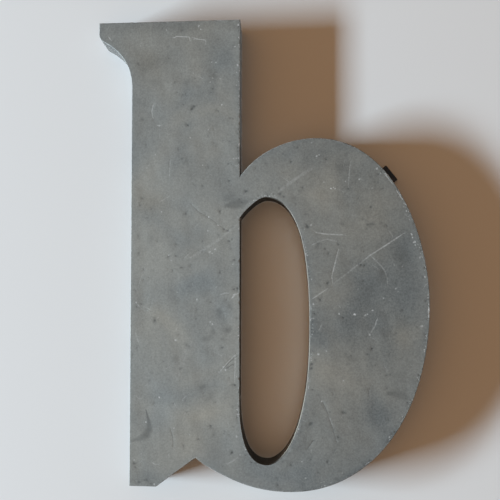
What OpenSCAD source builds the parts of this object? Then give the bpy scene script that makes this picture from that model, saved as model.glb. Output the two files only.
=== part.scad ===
// Hollow sign letter, lower-case b, made up from zinc sheet: a flat face plate, side strips (returns)
// soldered on edge behind it, an open back with braces, and two screw lugs that lie on the wall.
// X runs to the right, Z up, and the face looks towards -Y. The wall is the plane Y = 0.
// The origin is the screw hole of the top lug, on the wall, because the letter hangs there.
// Outline sizes are measured from the left edge of the stem and from the base line of its foot.

/* [Stem and serif] */
// Width of the stem
stem_w = 117; // [100:1:128]
// Height of the stem above the base line
stem_h = 497.5; // [470:0.5:520]
// How far the serif reaches left of the stem
serif_reach = 36.5; // [25:0.5:45]
// Height of the serif's upright edge
serif_edge_h = 11.5; // [8:0.5:14]
// Drop of the rounded lip under the serif's edge
serif_lip_drop = 8.5; // [6:0.5:10]
// Width of the rounded lip under the serif's edge
serif_lip_w = 4; // [3:0.5:6]
// Height over which the serif's hollow curve runs into the stem
serif_curve_h = 52.5; // [40:0.5:70]

/* [Foot and notch] */
// Width of the flat foot
foot_w = 28.7; // [20:0.1:40]
// Distance of the notch's peak from the left edge
notch_x = 70.5; // [60:0.5:76]
// Height of the notch's peak
notch_h = 31; // [22:0.5:34]
// Distance from the left edge to where the bowl starts at the notch
toe_x = 80; // [78:0.5:84]
// Height at which the bowl starts at the notch
toe_h = 24; // [18:0.5:28]

/* [Bowl] */
// Height at which the bowl leaves the right side of the stem
crotch_h = 328; // [315:1:340]
// Distance of the bowl's top from the left edge
bowl_top_x = 196.5; // [185:0.5:205]
// Height of the bowl's top
bowl_top_h = 368.5; // [360:0.5:380]
// Distance of the bowl's right side from the left edge
bowl_right_x = 314.3; // [300:0.1:330]
// Height of the bowl's furthest point on the right
bowl_right_h = 195; // [180:1:210]
// Distance of the bowl's bottom from the left edge
bowl_bottom_x = 168; // [160:1:176]
// How far the bowl drops below the base line
bowl_drop = 2.5; // [0:0.5:6]

/* [Counter] */
// Height of the counter's sharp top corner on the stem
peak_h = 284.5; // [275:0.5:292]
// Distance of the counter's top from the left edge
counter_top_x = 144.7; // [138:0.1:150]
// Height of the counter's top
counter_top_h = 306.3; // [300:0.1:312]
// Distance of the counter's right side from the left edge
counter_right_x = 191.1; // [182:0.1:198]
// Height of the counter's furthest point on the right
counter_right_h = 170; // [150:1:185]
// Distance of the counter's bottom from the left edge
counter_bottom_x = 146; // [140:0.5:150]
// Height of the counter's bottom
counter_bottom_h = 25; // [20:0.5:30]
// Height at which the counter's left side starts to curve in
counter_turn_h = 92.5; // [80:0.5:105]

/* [Sheet] */
// Depth of the letter from the wall to the front of its face
depth = 28; // [20:0.5:45]
// Thickness of the face plate
face_t = 1; // [0.8:0.1:1.5]
// Thickness of the returns
return_t = 1; // [0.8:0.1:1.5]

/* [Solder] */
// Leg of the soldered fillet between face and returns
seam_leg = 2.5; // [1.5:0.1:3]
// Thickness of the solder over a corner
corner_solder_t = 1.2; // [0.6:0.1:2]
// Distance that the solder over a corner spreads from it
corner_solder_r = 5; // [3:0.5:7]
// Distance of the solder over a corner from the wall
corner_solder_back = 3; // [1:0.5:6]
// Width of the solder along each side of a lug's leg
lug_solder_w = 3; // [2:0.5:5]
// Height of the solder along the edge of a brace's tab
brace_solder_h = 2; // [1:0.5:4]

/* [Splices and braces] */
// Length of a splice strap along the return
splice_l = 16; // [10:1:24]
// Thickness of a splice strap
splice_t = 1; // [0.8:0.1:1.5]
// Distance of a splice strap from the wall
splice_back = 3; // [2:0.5:6]
// Gap between a splice strap and the soldered fillet
splice_gap = 1; // [0.5:0.5:3]
// Width of a brace
brace_w = 15; // [10:1:20]
// Thickness of a brace
brace_t = 1; // [0.8:0.1:2]
// Distance of a brace from the wall
brace_back = 2; // [1:0.5:5]
// Length of a brace's bent tab
brace_tab_h = 11; // [8:0.5:14]
// Distance of the stem's upper brace below the joint under the serif
brace_upper_below = 25; // [18:1:60]
// Height of the middle brace of the stem
brace_middle_h = 215; // [140:1:260]
// Height of the brace above the foot
brace_foot_h = 75; // [60:1:110]
// Distance of the bowl's side brace below the joint of the bowl's returns
brace_bowl_below = 30; // [18:1:45]
// Place of the upper brace along the counter's upper right curve, from top to right side
brace_upper_inner_share = 0.2; // [0.1:0.01:0.4]
// Place of the upper brace along the bowl's upper right curve, from top to right side
brace_upper_outer_share = 0.1; // [0.05:0.01:0.15]
// Place of the lower brace along the counter's lower right curve, from right side to bottom
brace_lower_inner_share = 0.4; // [0.3:0.01:0.5]
// Place of the lower brace along the bowl's lower right curve, from bottom to right side
brace_lower_outer_share = 0.5; // [0.4:0.01:0.6]

/* [Lugs] */
// Width of a lug
lug_w = 20; // [14:1:26]
// Thickness of a lug
lug_t = 1.5; // [1:0.1:2]
// How far a lug sticks out of the outline
lug_reach = 12; // [10:0.5:18]
// Height of a lug's leg inside the return
lug_leg_h = 14; // [10:0.5:18]
// Diameter of a lug's screw hole
lug_hole_d = 4.5; // [3:0.1:6]
// Distance of the screw hole from the outline
lug_hole_out = 6; // [5:0.5:8]
// Gap between a lug's leg and the return, filled with solder
lug_seat = 0.5; // [0.4:0.1:1]
// Gap round a lug in its slot in the return
lug_slot_gap = 0.2; // [0.1:0.1:0.5]
// Distance of the top lug from the left edge
lug_top_x = 58.5; // [20:0.5:95]
// Place of the bowl's lug along the upper right curve, from top to right side
lug_bowl_share = 0.38; // [0.3:0.01:0.6]

/* [Hidden] */

zinc = "#6f7171";
zinc_side = "#5f6162";
solder = "#9a9c9c";
steel = "#2a2522";

// Steps of each curve, so that a step is 4 or 5 mm long
shoulder_steps = 20;
upper_steps = 44;
lower_steps = 50;
toe_steps = 18;
counter_peak_steps = 8;
counter_upper_steps = 28;
counter_lower_steps = 34;
counter_left_steps = 16;
serif_lip_steps = 3;
serif_curve_steps = 12;
round_fn = 48;
eps = 0.01;
// How far the flat shape that cuts out a brace or a splice reaches past the returns
overhang = 4;

face_back = depth - face_t;
seam_back = face_back - seam_leg;

// How far each curve runs on in the direction in which it starts or ends, as a share of its span
toe_share = 0.32;
bottom_left_share = 0.45;
bottom_right_share = 0.588;
right_low_share = 0.592;
right_high_share = 0.36;
top_right_share = 0.722;
top_left_share = 0.39;
crotch_share = 0.377;
peak_share = 0.469;
counter_top_left_share = 0.267;
counter_top_right_share = 0.784;
counter_right_high_share = 0.557;
counter_right_low_share = 0.861;
counter_bottom_right_share = 0.275;
counter_bottom_left_share = 0.472;
counter_turn_share = 0.83;
serif_start_share = 0.615;
serif_end_share = 0.533;

// Directions in which the curves leave the notch, the stem and the serif's lip
toe_angle = -29;
crotch_angle = 57;
peak_angle = 55;
serif_curve_angle = -28;

toe = [toe_x, toe_h];
bowl_bottom = [bowl_bottom_x, -bowl_drop];
bowl_right = [bowl_right_x, bowl_right_h];
bowl_top = [bowl_top_x, bowl_top_h];
crotch = [stem_w, crotch_h];
serif_lip_start = [-serif_reach, stem_h - serif_edge_h];
serif_lip_end = [serif_lip_w - serif_reach, stem_h - serif_edge_h - serif_lip_drop];
serif_end = [0, stem_h - serif_edge_h - serif_lip_drop - serif_curve_h];
counter_turn = [stem_w, counter_turn_h];
counter_bottom = [counter_bottom_x, counter_bottom_h];
counter_right = [counter_right_x, counter_right_h];
counter_top = [counter_top_x, counter_top_h];
peak = [stem_w, peak_h];

function along(angle) = [cos(angle), sin(angle)];
function bezier(a, b, c, d, t) =
    pow(1 - t, 3) * a + 3 * pow(1 - t, 2) * t * b + 3 * (1 - t) * t * t * c + t * t * t * d;
toe_w = bowl_bottom_x - toe_x;
function toe_curve(t) = bezier(toe, toe + toe_share * toe_w * along(toe_angle),
    bowl_bottom - [bottom_left_share * toe_w, 0], bowl_bottom, t);
function lower_right(t) = bezier(bowl_bottom,
    bowl_bottom + [bottom_right_share * (bowl_right_x - bowl_bottom_x), 0],
    bowl_right - [0, right_low_share * (bowl_right_h + bowl_drop)], bowl_right, t);
function upper_right(t) = bezier(bowl_top,
    bowl_top + [top_right_share * (bowl_right_x - bowl_top_x), 0],
    bowl_right + [0, right_high_share * (bowl_top_h - bowl_right_h)], bowl_right, t);
shoulder_w = bowl_top_x - stem_w;
function shoulder(t) = bezier(bowl_top, bowl_top - [top_left_share * shoulder_w, 0],
    crotch + crotch_share * shoulder_w * along(crotch_angle), crotch, t);
function serif_lip(t) = bezier(serif_lip_start, serif_lip_start - [0, serif_lip_drop / 2],
    serif_lip_end - [serif_lip_w / 2, -serif_lip_w / 4], serif_lip_end, t);
function serif_curve(t) = bezier(serif_lip_end,
    serif_lip_end + serif_start_share * (serif_reach - serif_lip_w) * along(serif_curve_angle),
    serif_end + [0, serif_end_share * serif_curve_h], serif_end, t);
counter_top_w = counter_top_x - stem_w;
function counter_peak(t) = bezier(peak, peak + peak_share * counter_top_w * along(peak_angle),
    counter_top - [counter_top_left_share * counter_top_w, 0], counter_top, t);
function counter_upper(t) = bezier(counter_top,
    counter_top + [counter_top_right_share * (counter_right_x - counter_top_x), 0],
    counter_right + [0, counter_right_high_share * (counter_top_h - counter_right_h)],
    counter_right, t);
function counter_lower(t) = bezier(counter_right,
    counter_right - [0, counter_right_low_share * (counter_right_h - counter_bottom_h)],
    counter_bottom + [counter_bottom_right_share * (counter_right_x - counter_bottom_x), 0],
    counter_bottom, t);
function counter_left(t) = bezier(counter_bottom,
    counter_bottom - [counter_bottom_left_share * (counter_bottom_x - stem_w), 0],
    counter_turn - [0, counter_turn_share * (counter_turn_h - counter_bottom_h)], counter_turn, t);

// Outline, anticlockwise from the foot's left corner
outline = concat(
    [[0, 0], [foot_w, 0], [notch_x, notch_h], toe],
    [for (i = [1 : toe_steps]) toe_curve(i / toe_steps)],
    [for (i = [1 : lower_steps]) lower_right(i / lower_steps)],
    [for (i = [1 : upper_steps]) upper_right(1 - i / upper_steps)],
    [for (i = [1 : shoulder_steps]) shoulder(i / shoulder_steps)],
    [[stem_w, stem_h], [-serif_reach, stem_h], serif_lip_start],
    [for (i = [1 : serif_lip_steps]) serif_lip(i / serif_lip_steps)],
    [for (i = [1 : serif_curve_steps]) serif_curve(i / serif_curve_steps)]
);
at_toe = 3;
at_right = at_toe + toe_steps + lower_steps;
at_crotch = at_right + upper_steps + shoulder_steps;
at_top_right = at_crotch + 1;
at_top_left = at_top_right + 1;
at_serif_end = at_top_left + 1 + serif_lip_steps + serif_curve_steps;
at_foot = at_serif_end + 1;

// Counter, clockwise from its sharp top corner, so that the metal is on the left here too
counter = concat(
    [peak],
    [for (i = [1 : counter_peak_steps]) counter_peak(i / counter_peak_steps)],
    [for (i = [1 : counter_upper_steps]) counter_upper(i / counter_upper_steps)],
    [for (i = [1 : counter_lower_steps]) counter_lower(i / counter_lower_steps)],
    [for (i = [1 : counter_left_steps]) counter_left(i / counter_left_steps)]
);
at_turn = len(counter) - 1;

function wrap(path, i) = path[(i + len(path)) % len(path)];
function unit(v) = v / norm(v);
function left_of(v) = [-v[1], v[0]];
// Point i of the path moved into the metal by a distance, with its corner kept sharp
function moved(path, i, d) =
    let (
        before = left_of(unit(wrap(path, i) - wrap(path, i - 1))),
        after = left_of(unit(wrap(path, i + 1) - wrap(path, i)))
    )
    wrap(path, i) + d * (before + after) / (1 + before * after);
function inset(path, d) = [for (i = [0 : len(path) - 1]) moved(path, i, d)];

// Draws what follows, a flat shape seen from the front, as a slab between two distances from the wall
module slab(from, to) {
    rotate([90, 0, 0]) translate([0, 0, from]) linear_extrude(to - from) children();
}

// Moves the letter so that the screw hole of its top lug is at the origin
module hung() {
    translate([-lug_top_x, 0, -stem_h - lug_hole_out]) children();
}

// Flat shape of the hollow at a distance inside the outline and the counter
module hollow(d) {
    difference() {
        polygon(inset(outline, d));
        polygon(inset(counter, d));
    }
}

// Flat layer on the inner side of the returns
module lining(t) {
    difference() {
        hollow(return_t);
        hollow(return_t + t);
    }
}

// Flat shape of a strip that follows the path between two of its points
module strip(path, first, last) {
    polygon(concat(
        [for (i = [first : last]) wrap(path, i)],
        [for (i = [last : -1 : first]) moved(path, i, return_t)]
    ));
}

// Soldered fillet behind the face, along a return
module seam(path, first, last) {
    count = last - first + 1;
    function ring(i) =
        let (near = moved(path, i, return_t), far = moved(path, i, return_t + seam_leg))
        [[near[0], -face_back, near[1]], [far[0], -face_back, far[1]], [near[0], -seam_back, near[1]]];
    points = [for (i = [first : last]) each ring(i)];
    sides = [for (k = [0 : count - 2], j = [0 : 2]) each
        let (a = 3 * k + j, b = 3 * k + (j + 1) % 3) [[a, b, b + 3], [a, b + 3, a + 3]]];
    color(solder) hung() polyhedron(points, concat([[2, 1, 0]], sides,
        [[3 * count - 3, 3 * count - 2, 3 * count - 1]]));
}

module return(path, first, last) {
    color(zinc_side) hung() slab(0, face_back) strip(path, first, last);
}

// Solder over the corner where two returns meet
module corner_solder(corner) {
    color(solder) hung() slab(corner_solder_back, seam_back) intersection() {
        lining(corner_solder_t);
        translate(corner) circle(r = corner_solder_r, $fn = round_fn);
    }
}

// Strap behind a butt joint, centred on a point of the outline where it runs upright
module splice(joint) {
    color(zinc_side) hung() slab(splice_back, seam_back - splice_gap) intersection() {
        lining(splice_t);
        translate(joint) square([2 * (return_t + splice_t + overhang), splice_l], center = true);
    }
}

// Flat band that a brace covers, from one point on a return to another and a little past both
module band(ends) {
    run = ends[1] - ends[0];
    translate((ends[0] + ends[1]) / 2) rotate(atan2(run[1], run[0]))
        square([norm(run) + 2 * overhang, brace_w], center = true);
}

module brace(ends) {
    color(zinc_side) hung() {
        slab(brace_back, brace_back + brace_t) intersection() {
            hollow(return_t);
            band(ends);
        }
        slab(brace_back + brace_t, brace_back + brace_tab_h) intersection() {
            lining(brace_t);
            band(ends);
        }
    }
}

module brace_solder(ends) {
    color(solder) hung() slab(brace_back + brace_tab_h, brace_back + brace_tab_h + brace_solder_h)
        intersection() {
            lining(brace_t);
            band(ends);
        }
}

// Puts a lug's own frame, with its outer side along +X, at a point of the outline
module at_lug(place) {
    translate(place[0]) rotate(place[1]) children();
}

module lug(place) {
    leg_face = return_t + lug_seat;
    color(steel) hung() {
        slab(0, lug_t) at_lug(place) difference() {
            translate([-leg_face - lug_t, -lug_w / 2]) square([leg_face + lug_t + lug_reach, lug_w]);
            translate([lug_hole_out, 0]) circle(d = lug_hole_d, $fn = round_fn);
        }
        slab(lug_t, lug_leg_h) at_lug(place) translate([-leg_face - lug_t, -lug_w / 2])
            square([lug_t, lug_w]);
    }
}

// Opening in a return that a lug passes through
module lug_slot(place) {
    hung() slab(-eps, lug_t + lug_slot_gap) at_lug(place)
        square([2 * lug_reach, lug_w + 2 * lug_slot_gap], center = true);
}

module lug_solder(place) {
    behind = return_t + lug_seat + lug_t;
    color(solder) hung() slab(lug_t + 2 * lug_slot_gap, lug_leg_h) intersection() {
        hollow(return_t);
        at_lug(place) difference() {
            translate([-behind, -lug_w / 2 - lug_solder_w])
                square([behind + lug_reach, lug_w + 2 * lug_solder_w]);
            translate([-behind - lug_t, -lug_w / 2]) square([2 * lug_t, lug_w]);
        }
    }
}

// Where each brace runs, from one return to the other
at_brace_stem_upper = [serif_end - [0, brace_upper_below], serif_end + [stem_w, -brace_upper_below]];
at_brace_stem_middle = [[0, brace_middle_h], [stem_w, brace_middle_h]];
at_brace_foot = [[0, brace_foot_h], [stem_w, brace_foot_h]];
at_brace_bowl_upper = [counter_upper(brace_upper_inner_share), upper_right(brace_upper_outer_share)];
at_brace_bowl_middle = [counter_right - [0, counter_right_h - bowl_right_h + brace_bowl_below],
    bowl_right - [0, brace_bowl_below]];
at_brace_bowl_lower = [counter_lower(brace_lower_inner_share), lower_right(brace_lower_outer_share)];

// Where each lug lies: a point of the outline and the direction that leads out of the letter
lug_tangent = upper_right(lug_bowl_share + eps) - upper_right(lug_bowl_share - eps);
at_lug_top = [[lug_top_x, stem_h], 90];
at_lug_bowl = [upper_right(lug_bowl_share), atan2(lug_tangent[1], lug_tangent[0]) + 90];

module face_plate() {
    color(zinc) hung() slab(face_back, depth) difference() {
        polygon(outline);
        polygon(counter);
    }
}

module return_foot() { return(outline, 0, at_toe); }
module return_bowl_lower() { return(outline, at_toe, at_right); }
module return_bowl_upper() {
    difference() {
        return(outline, at_right, at_crotch);
        lug_slot(at_lug_bowl);
    }
}
module return_stem_right() { return(outline, at_crotch, at_top_right); }
module return_top() {
    difference() {
        return(outline, at_top_right, at_top_left);
        lug_slot(at_lug_top);
    }
}
module return_serif() { return(outline, at_top_left, at_serif_end); }
module return_stem_left() { return(outline, at_serif_end, at_foot); }
module counter_return_stem() { return(counter, at_turn, at_turn + 1); }
module counter_return_bowl() { return(counter, 0, at_turn); }

face_plate();
return_foot();
return_bowl_lower();
return_bowl_upper();
return_stem_right();
return_top();
return_serif();
return_stem_left();
counter_return_stem();
counter_return_bowl();
splice(serif_end);  // splice_stem
splice(bowl_right);  // splice_bowl
splice(counter_turn);  // splice_counter
seam(outline, 0, at_toe);  // seam_foot
seam(outline, at_toe, at_right);  // seam_bowl_lower
seam(outline, at_right, at_crotch);  // seam_bowl_upper
seam(outline, at_crotch, at_top_right);  // seam_stem_right
seam(outline, at_top_right, at_top_left);  // seam_top
seam(outline, at_top_left, at_serif_end);  // seam_serif
seam(outline, at_serif_end, at_foot);  // seam_stem_left
seam(counter, at_turn, at_turn + 1);  // seam_counter_stem
seam(counter, 0, at_turn);  // seam_counter_bowl
corner_solder([0, 0]);  // corner_solder_foot
corner_solder(toe);  // corner_solder_toe
corner_solder(crotch);  // corner_solder_crotch
corner_solder([stem_w, stem_h]);  // corner_solder_top_right
corner_solder([-serif_reach, stem_h]);  // corner_solder_top_left
corner_solder(peak);  // corner_solder_peak
brace(at_brace_stem_upper);  // brace_stem_upper
brace(at_brace_stem_middle);  // brace_stem_middle
brace(at_brace_foot);  // brace_foot
brace(at_brace_bowl_upper);  // brace_bowl_upper
brace(at_brace_bowl_middle);  // brace_bowl_middle
brace(at_brace_bowl_lower);  // brace_bowl_lower
brace_solder(at_brace_stem_upper);  // solder_brace_stem_upper
brace_solder(at_brace_stem_middle);  // solder_brace_stem_middle
brace_solder(at_brace_foot);  // solder_brace_foot
brace_solder(at_brace_bowl_upper);  // solder_brace_bowl_upper
brace_solder(at_brace_bowl_middle);  // solder_brace_bowl_middle
brace_solder(at_brace_bowl_lower);  // solder_brace_bowl_lower
lug(at_lug_top);  // lug_top
lug(at_lug_bowl);  // lug_bowl
lug_solder(at_lug_top);  // solder_lug_top
lug_solder(at_lug_bowl);  // solder_lug_bowl
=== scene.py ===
"""Looks of a hollow sign letter, lower-case b, soldered up from zinc sheet.

The letter is a flat face plate with side strips (returns) soldered on edge behind it. Its back is
open, so the solder, the corner joints, the braces and the screw lugs are all built here as formed
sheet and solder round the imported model.

Lengths are in millimetres in the letter's own measure, as a maker would mark them out: x from the
left edge of the stem, height from the base line of the foot, and depth from the wall. Only
`to_frame` turns them into the frame's metres.
"""

import logging
import math
from collections.abc import Callable, Iterable, Sequence
from dataclasses import dataclass, field
from enum import Enum
from functools import partial

import bmesh
import bpy
import numpy as np
from mathutils import Euler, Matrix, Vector
from mathutils.geometry import delaunay_2d_cdt

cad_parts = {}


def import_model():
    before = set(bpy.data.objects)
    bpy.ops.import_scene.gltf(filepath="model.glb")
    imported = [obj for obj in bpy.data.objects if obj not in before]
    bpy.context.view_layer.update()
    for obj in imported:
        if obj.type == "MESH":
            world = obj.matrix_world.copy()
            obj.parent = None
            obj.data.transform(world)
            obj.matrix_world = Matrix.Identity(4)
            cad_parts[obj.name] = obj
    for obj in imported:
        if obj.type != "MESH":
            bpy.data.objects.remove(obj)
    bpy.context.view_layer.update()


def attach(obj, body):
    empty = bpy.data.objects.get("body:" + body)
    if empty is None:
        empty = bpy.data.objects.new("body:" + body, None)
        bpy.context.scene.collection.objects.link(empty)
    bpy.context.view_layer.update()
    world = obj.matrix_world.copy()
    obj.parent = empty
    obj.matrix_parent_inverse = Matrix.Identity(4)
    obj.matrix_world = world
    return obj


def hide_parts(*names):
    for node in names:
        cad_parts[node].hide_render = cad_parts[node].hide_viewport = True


log = logging.getLogger("letter")

MM = 0.001
# Where the screw hole of the top lug lies, which is the frame's origin
HUNG_AT = (58.5, 503.5)
# Two points closer than this, in millimetres, are one point
SAME_POINT = 1e-6
# A point that is put on a line is left out if the line has one closer than this
NEAR_POINT = 0.005
# Steps in which a curve's length is measured
FINE_STEPS = 400

Point = tuple[float, float]
Triple = tuple[float, float, float]
Handles = tuple[Point, Point, Point, Point]
Finishes = Sequence[bpy.types.Material]


def to_frame(points: np.ndarray) -> np.ndarray:
    """Turns letter millimetres into metres in the frame.

    Args:
        points: Rows of x, height and depth from the wall.

    Returns:
        Rows of X, Y and Z.
    """
    return np.column_stack(
        [points[:, 0] - HUNG_AT[0], -points[:, 2], points[:, 1] - HUNG_AT[1]]
    ) * MM


def linear(colour: str) -> tuple[float, float, float, float]:
    """Turns an sRGB hex colour into the linear values that a shader takes.

    Args:
        colour: Such as "#6f7171".

    Returns:
        Red, green, blue and an alpha of 1.
    """
    parts = [int(colour[i : i + 2], 16) / 255 for i in (1, 3, 5)]
    made = [c / 12.92 if c <= 0.04045 else ((c + 0.055) / 1.055) ** 2.4 for c in parts]
    return (made[0], made[1], made[2], 1.0)


def ripple(points: np.ndarray, length: float, seed: int) -> np.ndarray:
    """Smooth unevenness, the same at the same place for the same seed.

    Args:
        points: Rows of coordinates in millimetres, of any dimension.
        length: Typical distance from one crest to the next, in millimetres.
        seed: Seed of the waves that are added up.

    Returns:
        One value a point, mostly from -1 to 1.
    """
    draw = np.random.default_rng(seed)
    waves = 12
    total = np.zeros(len(points))
    for _ in range(waves):
        way = draw.normal(size=points.shape[1])
        way /= np.linalg.norm(way)
        crest = length * draw.uniform(0.7, 1.7)
        total += np.sin(points @ way * (2 * math.pi / crest) + draw.uniform(0, 2 * math.pi))
    return total / math.sqrt(waves)


@dataclass(frozen=True)
class Waves:
    """Unevenness of formed metal: a level, and ripples of a weight, a length and a seed on it."""

    level: float
    ripples: tuple[tuple[float, float, int], ...]

    def over(self, points: np.ndarray) -> np.ndarray:
        """Adds the ripples to the level.

        Args:
            points: Rows of coordinates in millimetres.

        Returns:
            One value a point.
        """
        total = np.full(len(points), float(self.level))
        for weight, length, seed in self.ripples:
            total += weight * ripple(points, length, seed)
        return total

    def at(self, *place: float) -> float:
        """The value at one place."""
        return float(self.over(np.array([place], float))[0])


def ease(value: np.ndarray) -> np.ndarray:
    """Clips to 0 to 1 and softens both ends."""
    clipped = np.clip(value, 0, 1)
    return clipped * clipped * (3 - 2 * clipped)


def bezier(a: Point, b: Point, c: Point, d: Point, share: np.ndarray) -> np.ndarray:
    """Points of a cubic curve.

    Args:
        a: Start.
        b: First handle.
        c: Second handle.
        d: End.
        share: Shares of its run, from 0 to 1.

    Returns:
        Rows of x and height.
    """
    t = share[:, None]
    near = (1 - t) ** 3 * np.array(a) + 3 * (1 - t) ** 2 * t * np.array(b)
    return near + 3 * (1 - t) * t * t * np.array(c) + t**3 * np.array(d)


def sampled(a: Point, b: Point, c: Point, d: Point, pitch: float) -> np.ndarray:
    """Evenly divides a cubic curve.

    Args:
        a: Start.
        b: First handle.
        c: Second handle.
        d: End.
        pitch: Distance between points.

    Returns:
        The points after the start, the last of them on the end.
    """
    fine = bezier(a, b, c, d, np.linspace(0, 1, FINE_STEPS))
    run = np.concatenate([[0], np.cumsum(np.linalg.norm(np.diff(fine, axis=0), axis=1))])
    wanted = np.linspace(0, run[-1], max(2, math.ceil(run[-1] / pitch)) + 1)[1:]
    return np.column_stack([np.interp(wanted, run, fine[:, k]) for k in (0, 1)])


def direct(a: Point, b: Point, pitch: float) -> np.ndarray:
    """Evenly divides a straight line.

    Args:
        a: Start.
        b: End.
        pitch: Distance between points.

    Returns:
        The points after the start, the last of them on the end.
    """
    start, end = np.array(a, float), np.array(b, float)
    steps = max(1, math.ceil(np.linalg.norm(end - start) / pitch))
    return start + (end - start) * (np.arange(1, steps + 1) / steps)[:, None]


def distance_to_line(points: np.ndarray, line: np.ndarray) -> tuple[np.ndarray, np.ndarray]:
    """Distance from points to a broken line.

    Args:
        points: Rows of x and height.
        line: Rows of x and height.

    Returns:
        The distances, and for each point the place on the line as a number of its segments.
    """
    best = np.full(len(points), np.inf)
    place = np.zeros(len(points))
    for k in range(len(line) - 1):
        run = line[k + 1] - line[k]
        share = np.clip((points - line[k]) @ run / max(run @ run, SAME_POINT), 0, 1)
        gap = np.linalg.norm(points - line[k] - share[:, None] * run, axis=1)
        nearer = gap < best
        best[nearer] = gap[nearer]
        place[nearer] = k + share[nearer]
    return best, place


@dataclass
class Run:
    """A closed line of the letter, seen from the front, with the metal on its left."""

    points: np.ndarray
    corners: dict[str, int]

    def put(self, extra: Iterable[Point]) -> None:
        """Puts more points on the line, each in the segment that it lies on.

        Args:
            extra: The points.
        """
        for point in extra:
            spot = np.array(point, float)
            closed = np.vstack([self.points, self.points[:1]])
            _, place = distance_to_line(spot[None], closed)
            k = int(place[0])
            if np.linalg.norm(closed[k : k + 2] - spot, axis=1).min() >= NEAR_POINT:
                self.points = np.insert(self.points, k + 1, spot, axis=0)
                self.corners = {n: i + (i > k) for n, i in self.corners.items()}

    def span(self, first: str, last: str) -> np.ndarray:
        """Finds the points from one named point to another.

        Args:
            first: Name of the first point.
            last: Name of the last point.

        Returns:
            Their indices, both ends included.
        """
        start, end = self.corners[first], self.corners[last]
        count = len(self.points)
        return np.arange(start, end + 1 if end > start else end + count + 1) % count

    def moved(self, distance: float | np.ndarray) -> np.ndarray:
        """Every point moved into the metal, with sharp corners kept sharp.

        Args:
            distance: One distance, or one for each point.

        Returns:
            The moved points.
        """
        p = self.points
        after = np.roll(p, -1, axis=0) - p
        after = np.column_stack([-after[:, 1], after[:, 0]])
        after /= np.linalg.norm(after, axis=1)[:, None]
        before = np.roll(after, 1, axis=0)
        lean = (before + after) / (1 + np.sum(before * after, axis=1))[:, None]
        return p + lean * np.reshape(distance, (-1, 1))

    def hit(self, origin: np.ndarray, way: np.ndarray, inset: float) -> np.ndarray:
        """Where a straight line first meets this line moved into the metal.

        Args:
            origin: Start of the straight line.
            way: Its direction.
            inset: How far this line is moved into the metal.

        Returns:
            The point where they meet.
        """
        line = self.moved(inset)
        a, b = line, np.roll(line, -1, axis=0)
        side = np.array([-way[1], way[0]])
        high, low = (a - origin) @ side, (b - origin) @ side
        cut = np.nonzero((high > 0) != (low > 0))[0]
        share = high[cut] / (high[cut] - low[cut])
        far = (a[cut] + share[:, None] * (b[cut] - a[cut]) - origin) @ (way / np.linalg.norm(way))
        ahead = far[far > 0]
        return origin + way / np.linalg.norm(way) * ahead.min()


def polar(start: Point, length: float, degrees: float) -> Point:
    """A point at a distance and direction from another."""
    turn = math.radians(degrees)
    return (start[0] + length * math.cos(turn), start[1] + length * math.sin(turn))


def quarter(level: Point, side: Point, pull: Point) -> Handles:
    """A quarter curve from where it runs level to where it runs upright.

    Args:
        level: Its top or bottom.
        side: Its right side.
        pull: Lengths of its handles, as shares of its width and of its height.

    Returns:
        Its start, its two handles and its end.
    """
    return (
        level,
        (level[0] + pull[0] * (side[0] - level[0]), level[1]),
        (side[0], side[1] + pull[1] * (level[1] - side[1])),
        side,
    )


@dataclass(frozen=True)
class Leg:
    """A stretch of a line of the letter up to a named point: a curve if it has handles."""

    name: str
    end: Point
    handles: Sequence[Point] = ()
    pitch: float = 1.7
    straight_pitch: float = 4.0

    def points(self, start: Point) -> np.ndarray:
        """Divides the stretch.

        Args:
            start: Where it starts.

        Returns:
            The points after the start, the last of them on its end.
        """
        if self.handles:
            return sampled(start, *self.handles, self.end, self.pitch)
        return direct(start, self.end, self.straight_pitch)


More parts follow.
